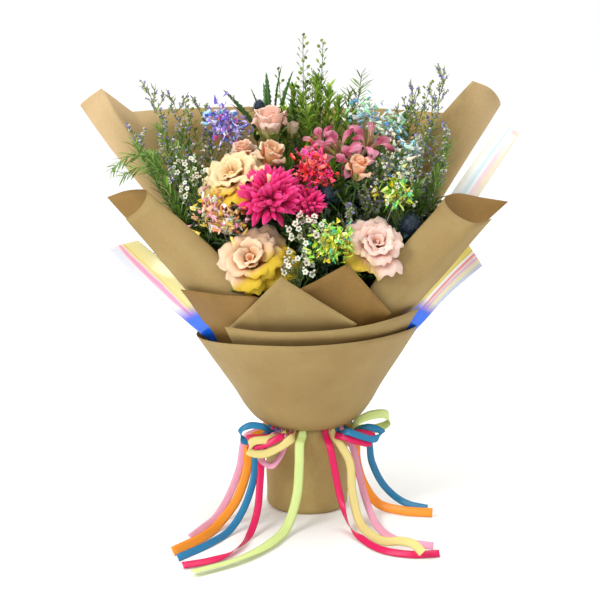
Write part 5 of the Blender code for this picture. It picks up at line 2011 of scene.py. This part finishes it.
SEA_LAVENDERS = (
    SeaLavender("sea_lavender_left_high", places((-218, 4, 590), (-186, 12, 578), (-150, 26, 566)), 0.042),
    SeaLavender("sea_lavender_left_low", places((-236, -18, 536), (-196, -26, 520), (-180, -50, 478)), 0.040),
    SeaLavender("sea_lavender_right_high", places((190, 0, 610), (150, 14, 590)), 0.042),
    SeaLavender("sea_lavender_right_low", places((196, -14, 540), (192, -24, 492), (160, -34, 520)), 0.040),
    SeaLavender("sea_lavender_centre", places((86, -60, 462), (60, -96, 440), (110, -56, 500)), 0.036),
)


@dataclass
class Pennycress(Plant):
    """Tall stalks set with flat round seed pods on hair-thin stalklets."""

    tips: tuple
    pods: int
    kind = "pennycress_"
    ending = "_stalks"
    slot = "pod_green"

    def finishes(self) -> list:
        """The pods and the stalks."""
        return [LeafFlesh("pennycress_pod_" + self.label, "#4f6a22", "#9fb648", "#c4d070"),
                Mottled("pennycress_stem_" + self.label, "#4c6628", "#6f8a38")]

    def grow(self) -> None:
        """Adds the stalks of one node."""
        bunch = self.bunch
        pod = leaf_form(0.0078, 0.0062, 0.0, 0.12, 4, 5, sharp=0.5)
        stalks = Stalks()
        rng = bunch.rng
        for tip in self.tips:
            stem(stalks, tip, 0.0012, 0.0004, 0.003)
            for index in range(self.pods):
                share = index / self.pods
                root = stem_at(tip, tip.z - 0.002 - 0.125 * share)
                out = around(1.0, index * NEXT_TURN + rng.uniform(-30, 30), 0.75).normalized()
                spot = root + out * (0.005 + 0.006 * share) * rng.uniform(0.8, 1.2)
                stalks.add([root, spot], 0.0003, 0.00025)
                lean = (out + UP * 0.4).normalized()
                bunch.add(pod, standing(spot, lean, rng.uniform(-60, 60), 0.75 + 0.35 * share))
        bunch.stalks(stalks, 1, 0)


PENNYCRESSES = (
    Pennycress("pennycress_top", places((-6, 70, 658), (22, 62, 650), (8, 50, 612)), 30),
    Pennycress("pennycress_left", places((-172, 40, 574), (-40, 60, 612)), 22),
    Pennycress("pennycress_right", places((172, 36, 596), (140, 30, 560)), 26),
)


def routes_to(*tips: tuple[float, float, float]) -> list[tuple[Vector]]:
    """Stems that each run through one place, given in millimetres."""
    return [(tip,) for tip in places(*tips)]


@dataclass
class Foliage:
    """Green between and above the flowers: long toothed leaves, leafy sprigs, needles and a fern tip."""

    walls: Sequence[BVHTree]
    blooms: Sequence[BVHTree]
    # Places on a stem's curve, and the first of them that has to lie inside the papers.
    curve_steps: int = 16
    free_from: int = 8
    fill_stems: int = 150

    def long_leaves(self) -> None:
        """Dark toothed leaves that stand above the blooms."""
        green = LeafFlesh("toothed_leaf", "#1d421c", "#47792c", "#7ba04c").material()
        stalk = Mottled("leaf_stalk", "#3a5a26", "#4f7030").material()
        bunch = Bunch("long_toothed_leaves", [green, stalk], random.Random("foliage"), self.walls)
        leaf = leaf_form(1.0, 0.115, 0.10, 0.30, 6, 60, 13, 0.42, 0.60)
        top = mm(-50, 50, 540)
        stalks = Stalks()
        stem(stalks, top, 0.0014, 0.0010)
        for root, end, turn in (
            (mm(-52, 34, 520), mm(-55, 26, 613), 12), (mm(-42, 38, 524), mm(-26, 30, 616), -14),
            (mm(-58, 36, 522), mm(-101, 30, 572), 20), (mm(-46, 40, 510), mm(-10, 44, 580), 30),
            (mm(-54, 30, 505), mm(-84, 10, 560), -25), (mm(-50, 44, 520), mm(-62, 84, 590), 170),
            (mm(-56, 40, 512), mm(-72, 52, 590), 60), (mm(-44, 36, 530), mm(-44, 22, 622), 80),
            (mm(-60, 30, 520), mm(-112, 24, 592), 50), (mm(-40, 30, 516), mm(-4, 20, 566), -40),
        ):
            along = end - root
            bunch.add(leaf, standing(root, along, turn, along.length), 0)
            stalks.add([stem_at(top, 0.49), root], 0.0011, 0.0009)
        bunch.stalks(stalks, 1)
        seat(bunch.made(), "leaf_green", "foliage_long_leaves")

    def sprigs(self, name: str, routes: Sequence[Sequence[Vector]], leaf: Form, count: int, span: float,
               lean: float, finish: LeafFlesh, *nodes: str) -> None:
        """Leafy stems: each with leaves round its upper part.

        Args:
            name: The piece's name.
            routes: The places above the fork that each stem runs through.
            leaf: The leaf's form.
            count: Leaves on a stem.
            span: The length of stem that carries leaves.
            lean: How far along the stem a leaf points, against out.
            finish: The leaves' finish.
            *nodes: The solids that the piece replaces.
        """
        stalk = Mottled(finish.name + "_stalk", finish.deep, finish.fresh).material()
        bunch = Bunch(name, [finish.material(), stalk], random.Random(name), self.walls, self.blooms, True)
        rng = bunch.rng
        stalks = Stalks()
        for route in routes:
            root = root_of(route[0])
            fork = [Vector((root.x, root.y, FORK_Z)), *route]
            line = [smooth(fork, i / self.curve_steps) for i in range(self.curve_steps + 1)]
            if any(outside(wall, place) for wall in self.walls for place in line[self.free_from:]):
                continue
            stalks.add([Vector((root.x, root.y, BORE_FLOOR)), *line], 0.0012, 0.0006)
            for index in range(count):
                place, along = before_end(line, span * (index + rng.random()) / count)
                turn = turned_to(along).to_3x3()
                azimuth = index * NEXT_TURN + rng.uniform(-35, 35)
                out = turn @ around(1.0, azimuth, lean * rng.uniform(0.6, 1.4))
                size = rng.uniform(0.75, 1.15) * (0.7 + 0.3 * min(1.0, index / 8))
                bunch.fit(leaf, standing(place, out.normalized(), rng.uniform(-30, 30), size))
        bunch.stalks(stalks, 1, 0)
        seat(bunch.made(), "leaf_green", *nodes)

    def build(self) -> None:
        """Makes every kind of green."""
        self.long_leaves()
        needle = leaf_form(0.023, 0.0030, 0.10, 0.1, 2, 4, sharp=0.5)
        self.sprigs("needle_sprigs_left", [
            places((-140, -18, 440), (-206, -30, 500), (-240, -44, 504), (-262, -56, 488)),
            places((-140, -26, 430), (-200, -44, 486), (-228, -58, 490), (-248, -68, 480)),
            *routes_to((-236, -24, 520), (-212, -36, 505), (-196, -50, 474), (-180, -20, 512),
                       (-205, -10, 540), (-150, -60, 450), (-176, 10, 530), (-160, -44, 480)),
        ], needle, 95, 0.17, 1.6, LeafFlesh("rosemary_needle", "#427226", "#94bc4c", "#b2ce6c"),
            "foliage_leafy_left")
        narrow = leaf_form(0.021, 0.0052, 0.16, 0.18, 2, 5, sharp=0.62)
        self.sprigs("centre_sprigs", routes_to(
            (14, 44, 602), (-8, 30, 580), (30, 36, 590), (2, 10, 562), (-20, 46, 590), (44, 30, 574),
            (60, 20, 552), (-32, 20, 560),
        ), narrow, 80, 0.12, 1.7, LeafFlesh("fine_leaf", "#33661c", "#9dbf3e", "#bcd268"),
            "foliage_green_centre")
        plume = leaf_form(0.022, 0.0024, 0.05, 0.0, 1, 4, sharp=0.5)
        self.sprigs("fern_tips", routes_to(
            (76, 50, 608), (60, 52, 584), (20, 56, 600), (-2, 52, 596), (150, 30, 560), (120, 20, 548),
        ), plume, 70, 0.10, 0.7, LeafFlesh("fern_needle", "#3a6222", "#93b23c", "#b4c45a"),
            "foliage_ferny_right")
        self.sprigs("needle_sprigs_right", routes_to(
            (140, 20, 560), (172, 0, 540), (188, -24, 500), (124, -30, 505), (150, -50, 470), (196, -6, 520),
            (104, -10, 530), (178, -30, 462),
        ), needle, 80, 0.15, 1.6, LeafFlesh("dusky_needle", "#3c6c28", "#86ac48", "#a6c264"))
        self.fill()

    def fill(self) -> None:
        """Leaves that close the gaps below and between the flowers."""
        rng = random.Random("fill")
        tips = []
        for index in range(self.fill_stems):
            out = spiral(index, self.fill_stems, 0.99, 0.26)
            x, y = out.x * 0.225, out.y * 0.135 - 0.012
            z = 0.455 + 0.55 * (y + 0.05) - 0.25 * abs(x) + rng.uniform(-0.03, 0.0)
            tips.append((Vector((x, y, z)),))
        small = leaf_form(0.034, 0.012, 0.14, 0.16, 2, 5, sharp=0.6)
        # Painted shade: the dark half of the fill is drawn near black-green, for the shadow in the gaps
        # between the flowers.
        self.sprigs("leaf_fill_dark", tips[::2], small, 20, 0.13, 0.9,
                    LeafFlesh("shade_leaf", "#10240f", "#2c5220", "#48662e"))
        slim = leaf_form(0.030, 0.005, 0.10, 0.05, 1, 4, sharp=0.5)
        self.sprigs("leaf_fill_fresh", tips[1::2], slim, 32, 0.11, 1.0,
                    LeafFlesh("fresh_leaf", "#2a561c", "#7aa640", "#a6c264"))


@dataclass
class TinselSpray(Plant):
    """A spray of tinsel slivers round the top of a thin stalk."""

    tips: tuple
    reach: float
    count: int
    film: Tinsel
    kind = "tinsel_"
    ending = "_slivers"

    def finishes(self) -> list:
        """The slivers' film and the stalks."""
        return [self.film, Mottled("tinsel_stalk_" + self.label, "#b9b6a0", "#d6d2be")]

    def grow(self) -> None:
        """Adds the sprays of one node."""
        bunch = self.bunch
        rng = bunch.rng
        slivers = ((0.011, 0.0058, 0.8), (0.014, 0.0046, 1.6), (0.008, 0.0066, -0.9))
        forms = [sliver_form(*sliver) for sliver in slivers]
        stalks = Stalks()
        for tip in self.tips:
            stem(stalks, tip, 0.0009, 0.0005)
            for index in range(self.count):
                out = spiral(index, self.count, 0.98, -0.6)
                lump = 1.0 + 0.9 * noise.noise(out * 2.3 + tip * 40)
                place = tip + Vector((out.x, out.y, out.z * 1.1)) * self.reach * lump * rng.uniform(0.2, 0.95)
                lean = (out * 0.4 + drawn(rng, *[(-1.0, 1.0)] * 3)).normalized()
                matrix = standing(place, lean, rng.uniform(0, 360), rng.uniform(0.8, 1.25))
                bunch.fit(forms[index % len(forms)], matrix)
                if index % 4 == 0:
                    stalks.add([tip - UP * self.reach * 0.5, place], 0.0002, 0.0002)
        bunch.stalks(stalks, 1, 0)


# The near-white colours of the films are painted glints; in the pearl film they are partly its own pale
# colour too.
TINSELS = (
    TinselSpray("tinsel_purple", places((-116, -2, 548), (-106, 0, 530)), 0.028, 120, Tinsel(
        "tinsel_violet_film",
        ("#9c7ce4", "#c3b2f6", "#6c60d4", "#f4f8ff", "#e258ac", "#a4dcf8", "#6488ea", "#dccffa"))),
    TinselSpray("tinsel_gold", places((-122, -104, 440), (-108, -110, 424)), 0.030, 150, Tinsel(
        "tinsel_gold_film",
        ("#f4d86a", "#f7b4c8", "#e88a4a", "#fff0f4", "#f49ab8", "#e4c23a", "#c4e8c0", "#f6c49a"))),
    TinselSpray("tinsel_red", places((14, -78, 482), (4, -74, 492)), 0.027, 150, Tinsel(
        "tinsel_red_film",
        ("#ff1a3c", "#ff3a2a", "#f0107a", "#ff5a4a", "#e8289a", "#ff2a5a", "#d01050", "#ff7a6a"))),
    TinselSpray("tinsel_white", places(
        (78, 8, 556), (108, -2, 534), (138, -14, 504), (126, -34, 476)), 0.028, 90, Tinsel(
        "tinsel_pearl_film",
        ("#ffffff", "#c8f4e4", "#f4fffa", "#8fd8e8", "#eefad0", "#ffe6c8", "#a8e8b0", "#5aa0e0"))),
    TinselSpray("tinsel_lime", places((36, -132, 404), (28, -136, 392), (119, -70, 456)), 0.027, 120, Tinsel(
        "tinsel_lime_film",
        ("#c8f020", "#f4e83a", "#8fe03a", "#f6f6a0", "#e0c820", "#8ed83a", "#d8f86a", "#4cc890"))),
)


# Studio

@dataclass
class Studio:
    """The floor, the soft lights and the camera."""

    target: Vector = field(default_factory=lambda: Vector((-0.010, 0.0, 0.297)))
    distance: float = 2.2
    elevation: float = 12.0
    # In millimetres, from the sensor's width and a focal length of 1571 in a picture 600 wide.
    lens: float = 36.0 * 1571 / 600

    def build(self) -> None:
        """Makes the studio."""
        self.floor()
        self.world()
        self.light("key", (-1.7, -1.5, 1.9), 1.1, 46.0)
        self.light("fill", (1.9, -1.4, 0.9), 1.8, 8.0)
        self.sky()
        self.camera()
        # Plain display colours, as a product picture on white has.
        bpy.context.scene.view_settings.view_transform = "Standard"

    def floor(self) -> None:
        """A wide pale floor."""
        deselect()
        bpy.ops.mesh.primitive_circle_add(vertices=96, radius=9.0, fill_type="NGON", location=(0, 0, 0))
        piece = bpy.context.object
        piece.name = "studio_floor"
        piece.data.materials.append(Graph("pale_floor", 0.8, Base_Color=linear("#f7f7f5")).material)

    def world(self) -> None:
        """A white surround, brighter to the eye than it lights the flowers."""
        world = bpy.data.worlds.new("studio")
        world.use_nodes = True
        background = world.node_tree.nodes["Background"]
        background.inputs["Color"].default_value = (1.0, 1.0, 1.0, 1.0)
        ray = add(world.node_tree, "LightPath")
        share = add(world.node_tree, "MapRange", {"To Min": 0.45, "Value": ray.outputs["Is Camera Ray"]})
        world.node_tree.links.new(share.outputs["Result"], background.inputs["Strength"])
        bpy.context.scene.world = world

    def light(self, name: str, place: tuple[float, float, float], size: float, power: float) -> None:
        """A square soft light that looks at the bouquet.

        Args:
            name: Its name.
            place: Where it hangs.
            size: The length of its side.
            power: Its power in watts.
        """
        data = bpy.data.lights.new(name, "AREA")
        data.size = size
        data.energy = power
        lamp = bpy.data.objects.new(name, data)
        lamp.location = place
        lamp.rotation_euler = (self.target - Vector(place)).to_track_quat("-Z", "Y").to_euler()
        bpy.context.scene.collection.objects.link(lamp)

    def sky(self) -> None:
        """A broad light from above, which keeps the floor even and white to its end."""
        data = bpy.data.lights.new("sky", "SUN")
        data.energy = 2.3
        data.angle = math.radians(70)
        lamp = bpy.data.objects.new("sky", data)
        lamp.rotation_euler = (math.radians(-14), math.radians(6), 0.0)
        bpy.context.scene.collection.objects.link(lamp)

    def camera(self) -> None:
        """The camera, straight in front and a little above."""
        data = bpy.data.cameras.new("camera")
        data.lens = self.lens
        data.sensor_width = 36.0
        rise = math.radians(self.elevation)
        back = Vector((0.0, -math.cos(rise), math.sin(rise)))
        camera = bpy.data.objects.new("camera", data)
        camera.location = self.target + back * self.distance
        camera.rotation_euler = (-back).to_track_quat("-Z", "Y").to_euler()
        bpy.context.scene.collection.objects.link(camera)
        bpy.context.scene.camera = camera


def main() -> None:
    """Builds the looks, class by class."""
    logging.basicConfig(level=logging.INFO, format="%(name)s %(message)s")
    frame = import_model()
    nodes = frame["nodes"]
    Studio().build()
    Foot().build(nodes)
    walls = Wrap().build()
    for ribbon, finish in zip(RIBBONS, RIBBON_FINISHES):
        ribbon.build(finish.material())
    green = Mottled("rose_stem_green", "#3f6a28", "#66883a").material()
    for name, node in nodes.items():
        if name.startswith(("rose_stem", "magenta_stem", "alstroemeria_stem")):
            dress(node, green)
    for plant in (*ROSES, *HEADS, Alstroemeria(), *THISTLES, *WAXFLOWERS, *SEA_LAVENDERS, *PENNYCRESSES,
                  *TINSELS):
        plant.build(walls)
    blooms = [tree_of(piece) for piece in bpy.data.objects if piece.name.endswith(BLOOM_ENDINGS)]
    Foliage(walls, blooms).build()


if __name__ == "__main__":
    main()
